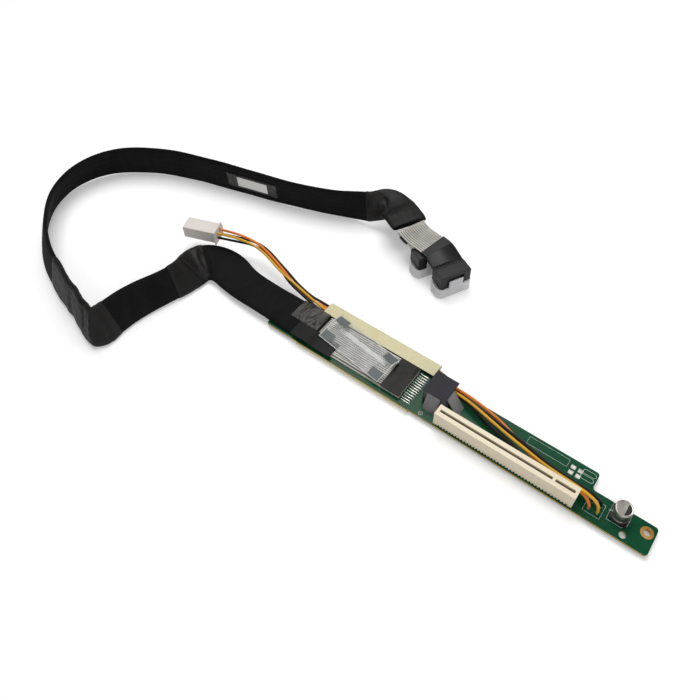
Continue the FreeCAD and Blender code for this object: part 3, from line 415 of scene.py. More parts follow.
wireSettings = {"thickness": 0.0018, "perRun": 14, "roundness": 5}
wireRoutes = {
    "orangeWire": [
        (-0.0311, -0.00585, 0.0013), (-0.0311, -0.00585, 0.0047), (-0.0376, -0.0025, 0.0064),
        (-0.0480, -0.0026, 0.0062), (-0.0600, -0.0018, 0.0060), (-0.0730, 0.0016, 0.0054),
        (-0.0920, 0.0098, 0.0056), (-0.1150, 0.0134, 0.0066), (-0.1280, 0.0134, 0.0068),
        (-0.1340, 0.0156, 0.0049), (-0.1400, 0.0200, 0.0024), (-0.1440, 0.0202, 0.0010),
        (-0.2320, 0.0202, 0.0010), (-0.2390, 0.0199, 0.0012), (-0.2460, 0.0187, 0.0022),
        (-0.2600, 0.0206, 0.0043), (-0.2680, 0.0230, 0.0071), (-0.2780, 0.0253, 0.0100),
        (-0.2940, 0.0296, 0.0120), (-0.3060, 0.0303, 0.0136), (-0.32097, 0.02675, 0.0156),
        (-0.33131, 0.02299, 0.0156)],
    "yellowWire": [
        (-0.0261, -0.00585, 0.0013), (-0.0261, -0.00585, 0.0069), (-0.0315, -0.0040, 0.0094),
        (-0.0420, -0.0025, 0.0088), (-0.0580, -0.0020, 0.0086), (-0.0730, 0.0006, 0.0084),
        (-0.0920, 0.0047, 0.0070), (-0.1150, 0.0104, 0.0062), (-0.1280, 0.0109, 0.0068),
        (-0.1340, 0.0130, 0.0049), (-0.1400, 0.0179, 0.0023), (-0.1440, 0.0183, 0.0010),
        (-0.2320, 0.0183, 0.0010), (-0.2390, 0.0183, 0.0029), (-0.2460, 0.0187, 0.0044),
        (-0.2600, 0.0206, 0.0066), (-0.2680, 0.0211, 0.0083), (-0.2780, 0.0233, 0.0089),
        (-0.2940, 0.0277, 0.0109), (-0.3060, 0.0276, 0.0129), (-0.31953, 0.02281, 0.0156),
        (-0.32987, 0.01905, 0.0156)],
    "blackOuterWire": [
        (-0.0261, -0.00135, 0.0013), (-0.0261, -0.00135, 0.0053), (-0.0320, -0.0008, 0.0072),
        (-0.0430, -0.0002, 0.0072), (-0.0580, 0.0003, 0.0076), (-0.0730, 0.0032, 0.0080),
        (-0.0920, 0.0069, 0.0074), (-0.1150, 0.0120, 0.0039), (-0.1280, 0.0132, 0.0046),
        (-0.1340, 0.0174, 0.0022), (-0.1400, 0.0221, 0.0010), (-0.2320, 0.0221, 0.0010),
        (-0.2390, 0.0219, 0.0017), (-0.2460, 0.0206, 0.0033), (-0.2600, 0.0226, 0.0055),
        (-0.2680, 0.0249, 0.0071), (-0.2780, 0.0272, 0.0089), (-0.2940, 0.0316, 0.0109),
        (-0.3060, 0.0316, 0.0114), (-0.32097, 0.02675, 0.0114), (-0.33131, 0.02299, 0.0114)],
    "blackInnerWire": [
        (-0.0311, -0.00135, 0.0013), (-0.0311, -0.00135, 0.0039), (-0.0365, -0.0006, 0.0048),
        (-0.0460, -0.0002, 0.0048), (-0.0600, -0.0002, 0.0036), (-0.0730, -0.0006, 0.0032),
        (-0.0920, 0.0026, 0.0046), (-0.1150, 0.0097, 0.0038), (-0.1280, 0.0109, 0.0045),
        (-0.1340, 0.0136, 0.0019), (-0.1400, 0.0164, 0.0010), (-0.2320, 0.0164, 0.0010),
        (-0.2390, 0.0165, 0.0016), (-0.2460, 0.0168, 0.0033), (-0.2600, 0.0187, 0.0055),
        (-0.2680, 0.0211, 0.0059), (-0.2780, 0.0253, 0.0077), (-0.2940, 0.0296, 0.0097),
        (-0.3060, 0.0290, 0.0106), (-0.31953, 0.02281, 0.0114), (-0.32987, 0.01905, 0.0114)],
}
orangeFinish = grainFinish("orangeInsulation", tint(214, 104, 18), tint(240, 136, 38), 900.0, 0.32, 0.5,
                           0.00003)
goldenFinish = grainFinish("yellowInsulation", tint(206, 150, 16), tint(232, 180, 40), 900.0, 0.32, 0.5,
                           0.00003)
blackFinish = grainFinish("blackInsulation", tint(14, 12, 11), tint(26, 23, 21), 900.0, 0.38, 0.55, 0.00003,
                          Specular_IOR_Level=0.3)
wireFinishes = {
    "orangeWire": ("orange_insulation", "orange_wire", orangeFinish),
    "yellowWire": ("yellow_insulation", "yellow_wire", goldenFinish),
    "blackOuterWire": ("black_insulation", "black_outer_wire", blackFinish),
    "blackInnerWire": ("black_insulation", "black_inner_wire", blackFinish),
}
wires = {}
for label, route in wireRoutes.items():
    curve = smoothLine(label, route, wireSettings["perRun"])
    wireLength = lengthOf(placesOn(curve.copy()))
    curve.bevel_depth = wireSettings["thickness"] / 2
    curve.bevel_resolution = wireSettings["roundness"]
    curve.use_fill_caps = True
    wires[label] = (addObject(label, curve), route, wireLength)
    slotName, nodeName, finish = wireFinishes[label]
    settle(wires[label][0], finish, slotName, nodeName)
print("power wires laid:", {label: round(made[2], 4) for label, made in wires.items()})


# flat cable: woven sleeve over ribbons, on a strip that leans and folds

# x, y, z, lean in degrees (0 flat, 90 on edge, 180 upside down), width
cableRoute = [
    (-0.2236, 0.0023, 0.0018, 0, 0.0262),
    (-0.2486, 0.0023, 0.0018, 0, 0.0262),
    (-0.2720, 0.0024, 0.0018, 0, 0.0262),
    (-0.2960, 0.0040, 0.0006, 0, 0.0265),
    (-0.3155, 0.0090, 0.0008, 2, 0.0290),
    (-0.3290, 0.0008, 0.0035, 19, 0.0285),
    (-0.3260, -0.0135, 0.0067, 46, 0.0240),
    (-0.3250, -0.0270, 0.0091, 69, 0.0250),
    (-0.3355, -0.0610, 0.0099, 71, 0.0265),
    (-0.3348, -0.0885, 0.0100, 68, 0.0270),
    (-0.3510, -0.0840, 0.0102, 72, 0.0270),
    (-0.3730, -0.0780, 0.0102, 72, 0.0270),
    (-0.3938, -0.0720, 0.0102, 71, 0.0270),
    (-0.4150, -0.0642, 0.0101, 69, 0.0270),
    (-0.4340, -0.0522, 0.0101, 69, 0.0270),
    (-0.4540, -0.0340, 0.0101, 69, 0.0270),
    (-0.4645, -0.0170, 0.0101, 69, 0.0270),
    (-0.4694, 0.0040, 0.0101, 70, 0.0270),
    (-0.4632, 0.0264, 0.0104, 76, 0.0270),
    (-0.4463, 0.0450, 0.0104, 84, 0.0270),
    (-0.4155, 0.0620, 0.0104, 88, 0.0270),
    (-0.3683, 0.0745, 0.0104, 87, 0.0270),
    (-0.3230, 0.0852, 0.0104, 84, 0.0270),
    (-0.2900, 0.0962, 0.0104, 83, 0.0270),
    (-0.2705, 0.1060, 0.0103, 90, 0.0270),
    (-0.2575, 0.1105, 0.0126, 124, 0.0200),
    (-0.2465, 0.1185, 0.0190, 178, 0.0265),
    (-0.2234, 0.1050, 0.0185, 180, 0.0255),
]
cableSettings = {"thickness": 0.0036, "halfWidth": 0.0135, "perRun": 26, "around": 26, "ribs": 5,
                 "ribDepth": 0.00012, "floorGap": 0.00008, "rippleStretch": 0.35, "sway": 0.35}
rippleSettings = {
    # size in metres, seed and weight
    "wrinkle": (0.011, 1.0, 1.2), "fineWrinkle": (0.0045, 3.0, 0.5), "puff": (0.05, 5.0, 0.00022),
    "edge": (0.03, 9.0, 0.0006), "sway": (0.009, 4.0, 1.0),
}


def stripStations(name, rows, perRun):
    spots = placesOn(smoothLine(name, rows, perRun))
    leans = placesOn(smoothLine(name + "Lean", [(row[3] / 1000, row[4], 0) for row in rows], perRun))
    stations = []
    run = 0.0
    for i, spot in enumerate(spots):
        ahead = spots[min(i + 1, len(spots) - 1)] - spots[max(i - 1, 0)]
        heading = ahead.normalized()
        side = Vector((heading.y, -heading.x, 0)).normalized()
        over = side.cross(heading)
        lean = math.radians(leans[i].x * 1000)
        across = side * math.cos(lean) + over * math.sin(lean)
        run += (spot - spots[i - 1]).length if i else 0.0
        routePlace = i / (len(spots) - 1) * (len(rows) - 2) + 0.5
        stations.append({"spot": spot, "across": across, "face": heading.cross(across), "width": leans[i].y,
                         "run": run, "place": routePlace})
    return stations


def sleeveSection(around):
    # shares of half width and half thickness round a flat sleeve, thin at both edges
    shares = [-math.cos(math.pi * i / around) for i in range(around + 1)]
    lower = [(u, -math.sqrt(max(0.0, 1 - abs(u) ** 5))) for u in shares]
    upper = [(u, -v) for u, v in reversed(lower[1:-1])]
    return lower + upper


def tubeMesh(name, rings, runs):
    # a closed tube through rings of places, with a map in metres: along the strip, then round it
    count = len(rings[0])
    places = [place for ring in rings for place in ring]
    faces = []
    maps = []
    for i in range(len(rings) - 1):
        girth = [0.0]
        for j in range(count):
            girth.append(girth[-1] + (rings[i][(j + 1) % count] - rings[i][j]).length)
        for j in range(count):
            k = (j + 1) % count
            faces.append((i * count + j, i * count + k, (i + 1) * count + k, (i + 1) * count + j))
            maps.append([(runs[i], girth[j]), (runs[i], girth[j + 1]), (runs[i + 1], girth[j + 1]),
                         (runs[i + 1], girth[j])])
    last = (len(rings) - 1) * count
    faces.append(tuple(reversed(range(count))))
    maps.append([(runs[0], 0.0)] * count)
    faces.append(tuple(last + j for j in range(count)))
    maps.append([(runs[-1], 0.0)] * count)
    piece = addMesh(name, places, faces)
    layer = piece.data.uv_layers.new(name="UVMap")
    flat = [pair for face in maps for pair in face]
    layer.data.foreach_set("uv", [value for pair in flat for value in pair])
    for face in piece.data.polygons[-2:]:
        face.use_smooth = False
    return piece


cableStations = stripStations("flatCableLine", cableRoute, cableSettings["perRun"])
sleeveShape = sleeveSection(cableSettings["around"])

# where the strip is folded: route place, reach along it, and how deep its wrinkles are
foldSettings = [(5.6, 1.1, 0.0010), (9.0, 0.75, 0.0011), (10.5, 0.9, 0.0006), (25.4, 1.2, 0.0009)]
creaseSettings = [
    # route place at the strip's middle, slant along the strip, depth, half width of the fold
    (4.75, 0.35, 0.0011, 0.0011), (5.35, -0.30, -0.0012, 0.0013), (5.95, 0.22, 0.0010, 0.0010),
    (8.75, -0.05, 0.0010, 0.0009), (9.22, 0.04, -0.0012, 0.0012), (9.7, 0.12, 0.0008, 0.0012),
    (24.75, 0.25, 0.0009, 0.0012), (25.6, -0.35, -0.0010, 0.0012),
]


def foldStrength(routePlace):
    return sum(depth * math.exp(-((routePlace - centre) / reach) ** 2)
               for centre, reach, depth in foldSettings)


def routeRun(routePlace):
    span = (routePlace - 0.5) / (len(cableRoute) - 2) * (len(cableStations) - 1)
    low = max(0, min(len(cableStations) - 2, int(span)))
    part = span - low
    return cableStations[low]["run"] * (1 - part) + cableStations[low + 1]["run"] * part


creaseRuns = [(routeRun(middle), slant, depth, reach) for middle, slant, depth, reach in creaseSettings]


def ripple(place, kind):
    size, seed, weight = rippleSettings[kind]
    return noise.noise(place / size + Vector((seed * 7.3, seed * 3.1, seed * 5.7))) * weight


def cablePoint(station, share, level, extra=0.0, extraWrinkle=0.0):
    # a place on the sleeve: share of the half width, share of the half thickness, tape on top of it
    reach = station["width"] / 2 + extra
    thick = cableSettings["thickness"] / 2 + extra
    offset = share * cableSettings["halfWidth"]
    outward = 1 if level > 0 else -1
    wrinkle = foldStrength(station["place"]) + extraWrinkle
    # wrinkles are longer across the strip than along it
    along = Vector((station["run"], offset * cableSettings["rippleStretch"], 0.0))
    height = level * thick + (ripple(along, "wrinkle") + ripple(along, "fineWrinkle")) * wrinkle
    height += ripple(along, "puff") * outward
    ribs = math.cos(share * math.pi * cableSettings["ribs"]) * cableSettings["ribDepth"]
    height += ribs * outward * (1 - abs(share) ** 6)
    for run, slant, depth, width in creaseRuns:
        distance = station["run"] - run - slant * offset
        if abs(distance) < 4 * width:
            height += depth * math.exp(-(distance / width) ** 2) * (1 - 0.4 * share * share)
    sideways = share * reach + ripple(along, "edge") * share
    sideways += cableSettings["sway"] * wrinkle * ripple(along, "sway")
    place = station["spot"] + station["across"] * sideways + station["face"] * height
    place.z = max(place.z, floorHeight + cableSettings["floorGap"])
    return place


sleeveRings = [[cablePoint(station, share, level) for share, level in sleeveShape]
               for station in cableStations]
flatCable = tubeMesh("flatCable", sleeveRings, [station["run"] for station in cableStations])
sleeveFinish = clothFinish("sleeveCloth", tint(17, 17, 18), 1100.0, 0.5, 0.72, 55.0, (1.0, 0.5, 1.0),
                           0.00006, 0.0002, 0.25, Specular_IOR_Level=0.12)
settle(flatCable, sleeveFinish, "cable_sleeve", "flat_cable")
print("flat cable made,", round(cableStations[-1]["run"], 4), "long")


# tape round the folds

wrapSettings = {
    # first and last are places on the cable's route
    "neckTape": {"node": "neck_tape", "first": 4.9, "last": 7.0, "wrinkle": 0.00035},
    "cornerTape": {"node": "corner_tape", "first": 8.45, "last": 12.2, "wrinkle": 0.00045},
    "endFoldTape": {"node": "end_fold_tape", "first": 24.5, "last": 26.6, "wrinkle": 0.00035},
}
wrapGrowth = {"rim": 0.00024, "middle": 0.0005}
tapeFinish = clothFinish("clothTape", tint(19, 17, 16), 1600.0, 0.35, 0.5, 70.0, (1.0, 0.28, 1.0), 0.00005,
                         0.0005, 0.2, Specular_IOR_Level=0.28)
cablePieces = []
for label, settings in wrapSettings.items():
    chosen = [s for s in cableStations if settings["first"] <= s["place"] <= settings["last"]]
    rings = []
    for i, station in enumerate(chosen):
        inward = min(1.0, min(i, len(chosen) - 1 - i) / 2)
        growth = wrapGrowth["rim"] + (wrapGrowth["middle"] - wrapGrowth["rim"]) * inward
        rings.append([cablePoint(station, share, level, growth, settings["wrinkle"] * inward)
                      for share, level in sleeveShape])
    wrap = tubeMesh(label, rings, [station["run"] for station in chosen])
    settle(wrap, tapeFinish, "black_tape", settings["node"])
    cablePieces.append(wrap)
print("fold tapes made")


# label under its laminate on the inside of the loop

labelSettings = {"first": 21.1, "last": 21.7, "half": 0.0046, "laminateFirst": 20.9, "laminateLast": 21.9,
                 "laminateHalf": 0.0066, "lift": 0.00025, "steps": 8}


def facePatch(name, first, last, halfHeight, lift, thickness):
    # a thin sheet on the cable's face, between two places of its route
    chosen = [s for s in cableStations if first <= s["place"] <= last]
    steps = labelSettings["steps"]
    places = []
    for station in chosen:
        for j in range(steps + 1):
            offset = halfHeight * (2 * j / steps - 1)
            share = offset / (station["width"] / 2)
            level = math.sqrt(1 - abs(share) ** 5)
            base = cablePoint(station, share, level)
            places.append(base + station["face"] * lift)
    wide = steps + 1
    faces = [(i * wide + j, i * wide + j + 1, (i + 1) * wide + j + 1, (i + 1) * wide + j)
             for i in range(len(chosen) - 1) for j in range(steps)]
    piece = addMesh(name, places, faces)
    layer = piece.data.uv_layers.new(name="UVMap")
    startRun = chosen[0]["run"]
    for loop in piece.data.loops:
        i, j = divmod(loop.vertex_index, wide)
        layer.data[loop.index].uv = (chosen[i]["run"] - startRun, halfHeight * (2 * j / steps - 1))
    solid = piece.modifiers.new("Thickness", "SOLIDIFY")
    solid.thickness = thickness
    solid.offset = 0
    return piece


# the laminate's crease ridges are painted lighter: painted highlight
laminateFinish = creasedFilm("laminateFilm", surfaceSpot, tint(52, 51, 50), tint(70, 69, 67), 90.0,
                             (1.0, 0.6, 1.0), 8.0, 0.0003, Roughness=0.3, Alpha=0.8, Specular_IOR_Level=0.4)
laminate = facePatch("labelLaminate", labelSettings["laminateFirst"], labelSettings["laminateLast"],
                     labelSettings["laminateHalf"], labelSettings["lift"], 0.0001)
settle(laminate, laminateFinish, "clear_film", "label_laminate")
labelFinish = grainFinish("labelPaper", tint(228, 227, 224), tint(242, 241, 238), 500.0, 0.5, 0.7, 0.00002)
cableLabel = facePatch("cableLabel", labelSettings["first"], labelSettings["last"], labelSettings["half"],
                       labelSettings["lift"] + 0.0002, 0.00015)
settle(cableLabel, labelFinish, "paper", "cable_label")
cablePieces += [laminate, cableLabel]
print("label made")


# geometry node trees that repeat a shape or follow a line

def nodeTree(name, inputs):
    tree = bpy.data.node_groups.new(name, "GeometryNodeTree")
    tree.interface.new_socket("Geometry", in_out="INPUT", socket_type="NodeSocketGeometry")
    for label, kind, value in inputs:
        socket = tree.interface.new_socket(label, in_out="INPUT", socket_type="NodeSocket" + kind)
        if value is not None:
            socket.default_value = value
    tree.interface.new_socket("Geometry", in_out="OUTPUT", socket_type="NodeSocketGeometry")
    return tree, tree.nodes.new("NodeGroupInput").outputs, tree.nodes.new("NodeGroupOutput").inputs


def nodeIn(tree, kind, setUp=(), **inputs):
    # a new node with its own settings, then values or other nodes' outputs in its sockets
    node = tree.nodes.new(kind)
    for label, value in setUp:
        setattr(node, label, value)
    for label, value in inputs.items():
        plug(tree, value, node.inputs[label.replace("_", " ")])
    return node.outputs[0]


def endTree(tree, geometry, given, made):
    real = nodeIn(tree, "GeometryNodeRealizeInstances", Geometry=geometry)
    dressed = nodeIn(tree, "GeometryNodeSetMaterial", Geometry=real, Material=given["Finish"])
    tree.links.new(dressed, made["Geometry"])
    return tree


def makeRowTree():
    tree, given, made = nodeTree("shapeInARow", [
        ("Count", "Int", 10), ("Step", "Vector", (0, 0, 0)), ("Uneven", "Float", 0.0), ("Seed", "Int", 1),
        ("Finish", "Material", None)])
    line = nodeIn(tree, "GeometryNodeMeshLine", [("mode", "OFFSET")], Count=given["Count"],
                  Offset=given["Step"])
    stray = nodeIn(tree, "FunctionNodeRandomValue", [("data_type", "FLOAT_VECTOR")], Min=(-1, -1, -0.2),
                   Max=(1, 1, 0.2), Seed=given["Seed"])
    scaled = nodeIn(tree, "ShaderNodeVectorMath", [("operation", "SCALE")], Vector=stray,
                    Scale=given["Uneven"])
    moved = nodeIn(tree, "GeometryNodeSetPosition", Geometry=line, Offset=scaled)
    copies = nodeIn(tree, "GeometryNodeInstanceOnPoints", Points=moved, Instance=given["Geometry"])
    return endTree(tree, copies, given, made)


def makeLineTree():
    tree, given, made = nodeTree("flatLine", [
        ("Width", "Float", 0.0002), ("Height", "Float", 0.00002), ("Finish", "Material", None)])
    asCurve = nodeIn(tree, "GeometryNodeMeshToCurve", Mesh=given["Geometry"])
    level = nodeIn(tree, "GeometryNodeSetCurveNormal", [("mode", "Z_UP")], Curve=asCurve)
    profile = nodeIn(tree, "GeometryNodeCurvePrimitiveQuadrilateral", Width=given["Width"],
                     Height=given["Height"])
    swept = nodeIn(tree, "GeometryNodeCurveToMesh", Curve=level, Profile_Curve=profile, Fill_Caps=True)
    return endTree(tree, swept, given, made)


def makeWireTree():
    tree, given, made = nodeTree("roundStrands", [
        ("Radius", "Float", 0.0005), ("Sides", "Int", 8), ("Finish", "Material", None)])
    asCurve = nodeIn(tree, "GeometryNodeMeshToCurve", Mesh=given["Geometry"])
    profile = nodeIn(tree, "GeometryNodeCurvePrimitiveCircle", Resolution=given["Sides"],
                     Radius=given["Radius"])
    swept = nodeIn(tree, "GeometryNodeCurveToMesh", Curve=asCurve, Profile_Curve=profile, Fill_Caps=True)
    return endTree(tree, nodeIn(tree, "GeometryNodeSetShadeSmooth", Geometry=swept), given, made)


rowTree = makeRowTree()
lineTree = makeLineTree()
wireTree = makeWireTree()


def grown(holder, tree, name, **values):
    # runs a node tree on a holder object and keeps the result as a plain mesh
    modifier = holder.modifiers.new(tree.name, "NODES")
    modifier.node_group = tree
    for item in tree.interface.items_tree:
        if item.item_type == "SOCKET" and item.in_out == "INPUT" and item.name in values:
            modifier[item.identifier] = values[item.name]
    bpy.context.view_layer.update()
    mesh = bpy.data.meshes.new_from_object(holder.evaluated_get(bpy.context.evaluated_depsgraph_get()))
    bpy.data.objects.remove(holder)
    piece = addObject(name, mesh)
    work = bmesh.new()
    work.from_mesh(mesh)
    bmesh.ops.recalc_face_normals(work, faces=work.faces)
    work.to_mesh(mesh)
    work.free()
    return piece


def edgeMesh(name, lines, closed=True):
    places = []
    edges = []
    for line in lines:
        start = len(places)
        places += line
        edges += [(start + i, start + i + 1) for i in range(len(line) - 1)]
        if closed:
            edges.append((start + len(line) - 1, start))
    mesh = bpy.data.meshes.new(name)
    mesh.from_pydata(places, edges, [])
    return addObject(name, mesh)


print("node trees made")


# ribbons from the cable's end to the plug heads

ribbonRoutes = {
    "a": [(-0.2214, 0.1036, 0.0190), (-0.2146, 0.1009, 0.0174), (-0.2045, 0.0994, 0.0170),
          (-0.19406, 0.09753, 0.0168), (-0.18831, 0.0945, 0.0155), (-0.18327, 0.09184, 0.0145)],
    "b": [(-0.2218, 0.1038, 0.0171), (-0.2166, 0.1017, 0.0154), (-0.20962, 0.10063, 0.0143),
          (-0.20547, 0.09844, 0.0143)],
}
ribbonSettings = {"width": 0.0224, "strands": 13, "radius": 0.00066, "sides": 8, "perRun": 10}
ribbonFinish = grainFinish("ribbonFilm", tint(176, 171, 164), tint(216, 212, 204), 700.0, 0.28, 0.42,
                           0.00004, Specular_IOR_Level=0.5)
ribbonLines = {}
for tag, rows in ribbonRoutes.items():
    rows = [(*row, 180, ribbonSettings["width"]) for row in rows]
    ribbonLines[tag] = stripStations("ribbonLine" + tag, rows, ribbonSettings["perRun"])
    strands = []
    pitch = ribbonSettings["width"] / ribbonSettings["strands"]
    for k in range(ribbonSettings["strands"]):
        offset = (k - (ribbonSettings["strands"] - 1) / 2) * pitch
        strands.append([s["spot"] + s["across"] * offset for s in ribbonLines[tag]])
    holder = edgeMesh("ribbonStrandLines", strands, closed=False)
    ribbon = grown(holder, wireTree, "ribbonStrands" + tag.upper(), Radius=ribbonSettings["radius"],
                   Sides=ribbonSettings["sides"], Finish=ribbonFinish)
    settle(ribbon, ribbonFinish, "ribbon_film", "ribbon_" + tag)
    cablePieces.append(ribbon)

headFinish = grainFinish("headPlastic", tint(20, 20, 21), tint(34, 34, 35), 1500.0, 0.35, 0.55, 0.00003,
                         Specular_IOR_Level=0.35)

# the plain black band round the upper ribbon, between its collar and its head
bandSettings = {"length": 0.0125, "half": 0.0116, "rise": 0.00095}
bandStart = ribbonLines["a"][-1]["run"] - bandSettings["length"]
bandLine = [s for s in ribbonLines["a"] if s["run"] > bandStart]
bandSection = [(side * bandSettings["half"], level * bandSettings["rise"])
               for side, level in ((-1, -1), (1, -1), (1, 0.6), (0.97, 1), (-0.97, 1), (-1, 0.6))]
headLabel = tubeMesh("headLabel", [[s["spot"] + s["across"] * x + s["face"] * z for x, z in bandSection]
                                   for s in bandLine], [s["run"] for s in bandLine])
settle(headLabel, headFinish, "black_tape")
cablePieces.append(headLabel)
bladeFinish = grainFinish("goldContact", tint(176, 134, 62), tint(222, 184, 104), 900.0, 0.22, 0.4, 0.00001,
                          Metallic=1.0)
capFinish, capTree, capShader = newFinish("clearCap", Roughness=0.22, Alpha=0.62, Specular_IOR_Level=0.6)
capGrain = useGroup(capTree, grainGroup, Vector=objectSpot(capTree), Scale=350.0,
                    Dark=tint(226, 226, 229), Light=tint(246, 246, 247))
capTree.links.new(capGrain["Colour"], capShader.inputs["Base Color"])
bump(capTree, capShader, capGrain["Height"], 0.00006)
for tag in ("a", "b"):
    head = softened("plugHead" + tag.upper(), "plug_head_" + tag, 0.0004)
    settle(head, headFinish, "black_plastic", "plug_head_" + tag)
    cap = softened("dustCap" + tag.upper(), "dust_cap_" + tag, 0.0003)
    settle(cap, capFinish, "clear_plastic", "dust_cap_" + tag)
    paint(cad["plug_blades_" + tag], bladeFinish)
    collar = softened("ribbonCollar" + tag.upper(), "ribbon_collar_" + tag, 0.00008)
    settle(collar, headFinish, "black_tape", "ribbon_collar_" + tag)
    cablePieces += [head, cap, cad["plug_blades_" + tag], collar]
print("ribbons and data plugs made")


# power plug

nylonFinish = grainFinish("whiteNylon", tint(214, 207, 199), tint(230, 224, 217), 260.0, 0.4, 0.55, 0.00004)
plugHousing = softened("powerPlugHousing", "power_plug_housing", 0.0003)
settle(plugHousing, nylonFinish, "white_nylon", "power_plug_housing")
tinFinish = grainFinish("tinnedMetal", tint(176, 174, 168), tint(226, 224, 218), 1200.0, 0.2, 0.42,
                        0.00003, Metallic=1.0)
paint(cad["power_plug_terminals"], tinFinish)
print("power plug made")


# circuit board

boardSettings = {"trackPitch": 2600.0, "mask": tint(0, 64, 38), "lightMask": tint(0, 76, 46),
                 "track": tint(0, 86, 52), "edge": tint(196, 172, 96), "darkEdge": tint(160, 134, 66),
                 "layers": 26000.0}


def makeBoardFinish():
    material, tree, shader = newFinish("solderMask", Specular_IOR_Level=0.18)
    spot = objectSpot(tree)
    axes = axesOf(tree, spot)
    zones = noiseIn(tree, stretchedBy(tree, spot, (0.12, 1.0, 1.0)), 150.0, 1.0)
    waves = reckon(tree, "SINE", reckon(tree, "MULTIPLY", axes[1], boardSettings["trackPitch"]))
    tracks = reckon(tree, "MULTIPLY", reckon(tree, "GREATER_THAN", waves, 0.35),
                    reckon(tree, "GREATER_THAN", zones, 0.5))
    grain = useGroup(tree, grainGroup, Vector=spot, Scale=500.0, Dark=boardSettings["mask"],
                     Light=boardSettings["lightMask"], Rough_low=0.22, Rough_high=0.4)
    face = blendColours(tree, reckon(tree, "MULTIPLY", tracks, 0.55), grain["Colour"],
                        boardSettings["track"])
    upward = axesOf(tree, tree.nodes.new("ShaderNodeNewGeometry").outputs["Normal"])[2]
    edge = reckon(tree, "LESS_THAN", reckon(tree, "ABSOLUTE", upward), 0.6)
    layers = reckon(tree, "SINE", reckon(tree, "MULTIPLY", axes[2], boardSettings["layers"]))
    fibre = blendColours(tree, reckon(tree, "MULTIPLY_ADD", layers, 0.2, 0.3), boardSettings["edge"],
                         boardSettings["darkEdge"])
    tree.links.new(blendColours(tree, edge, face, fibre), shader.inputs["Base Color"])
    tree.links.new(grain["Roughness"], shader.inputs["Roughness"])
    bump(tree, shader, tracks, 0.00003)
    return material


maskFinish = makeBoardFinish()
board = softened("riserBoard", "riser_board", 0.00012, 1)
settle(board, maskFinish, "board", "riser_board")
platingFinish = grainFinish("platedCopper", tint(196, 140, 66), tint(232, 184, 112), 900.0, 0.25, 0.4,
                            0.00002, Metallic=1.0)
settle(softened("screwHolePlating", "screw_hole_plating", 0.00004), platingFinish, "plating",
       "screw_hole_plating")

# white printed outlines, bare of any lettering
printFinish = grainFinish("whitePrint", tint(196, 206, 198), tint(222, 228, 222), 800.0, 0.45, 0.6, 0.00001)
printHeight = 0.00002


def arcOf(x, y, radius, first, turn, count):
    angles = [first + turn * i / count for i in range(count + 1)]
    return [(x + radius * math.cos(a), y + radius * math.sin(a), printHeight) for a in angles]


def roundEnded(x1, x2, y, radius):
    right = arcOf(x2, y, radius, -math.pi / 2, math.pi, 8)
    left = arcOf(x1, y, radius, math.pi / 2, math.pi, 8)
    return right + left


def traced(*corners):
    return [(x, y, printHeight) for x, y in corners]


def boxed(x1, y1, x2, y2):
    return traced((x1, y1), (x2, y1), (x2, y2), (x1, y2))


def ringed(x, y, radius):
    return arcOf(x, y, radius, 0.0, 2 * math.pi, 24)[:-1]


printedOutlines = [
    roundEnded(-0.0412, -0.0362, 0.0134, 0.0014), roundEnded(-0.0414, -0.0364, 0.0098, 0.0014),
    boxed(-0.0768, 0.0098, -0.0513, 0.0148),
    boxed(-0.0335, -0.0083, -0.0237, 0.0011),
    ringed(-0.1373, -0.0101, 0.0013),
    traced((-0.0209, -0.0056), (-0.0122, -0.0056), (-0.0099, -0.0033), (-0.0099, 0.0033), (-0.0122, 0.0056),
           (-0.0209, 0.0056)),
]
printed = grown(edgeMesh("printLines", printedOutlines), lineTree, "boardPrint", Width=0.00022,
                Height=0.00002, Finish=printFinish)
settle(printed, printFinish, "board")
paint(cad["spare_pads"], tinFinish)
paint(cad["capacitor_leads"], tinFinish)
settle(softened("wireJoints", "power_wire_joints", 0.0002, 3), tinFinish, "tinned_metal",
       "power_wire_joints")
print("circuit board made")


# card slot

slotFinish = grainFinish("slotPlastic", tint(236, 222, 192), tint(247, 236, 211), 380.0, 0.42, 0.58,
                         0.00004)
settle(softened("slotHousing", "slot_housing", 0.00018, 2), slotFinish, "slot_plastic", "slot_housing")
paint(cad["slot_contacts_front"], bladeFinish)
paint(cad["slot_contacts_back"], bladeFinish)
print("card slot made")


# capacitor

canSettings = {"centre": (-0.0155, 0.0), "radius": 0.005, "low": 0.0017, "high": 0.0101, "beadRise": 0.0012,
               "beadDepth": 0.00035, "beadHeight": 0.0012, "beadSteps": 8, "rim": 0.0006, "rimSteps": 5,
               "sides": 48, "markEdge": 0.0012, "markInset": 0.0011, "markDrop": 0.00008,
               "markThickness": 0.00003, "markSteps": 20,
               # distances in from the wall, then up from the foot or down from the rim
               "foot": [(0.0005, 0.0), (0.0001, 0.0002)], "lid": [(0.0009, 0.00005), (0.0010, 0.0001)]}


def roundCan(radius, turn, z):
    x, y = canSettings["centre"]
    return (x + radius * math.cos(turn), y + radius * math.sin(turn), z)


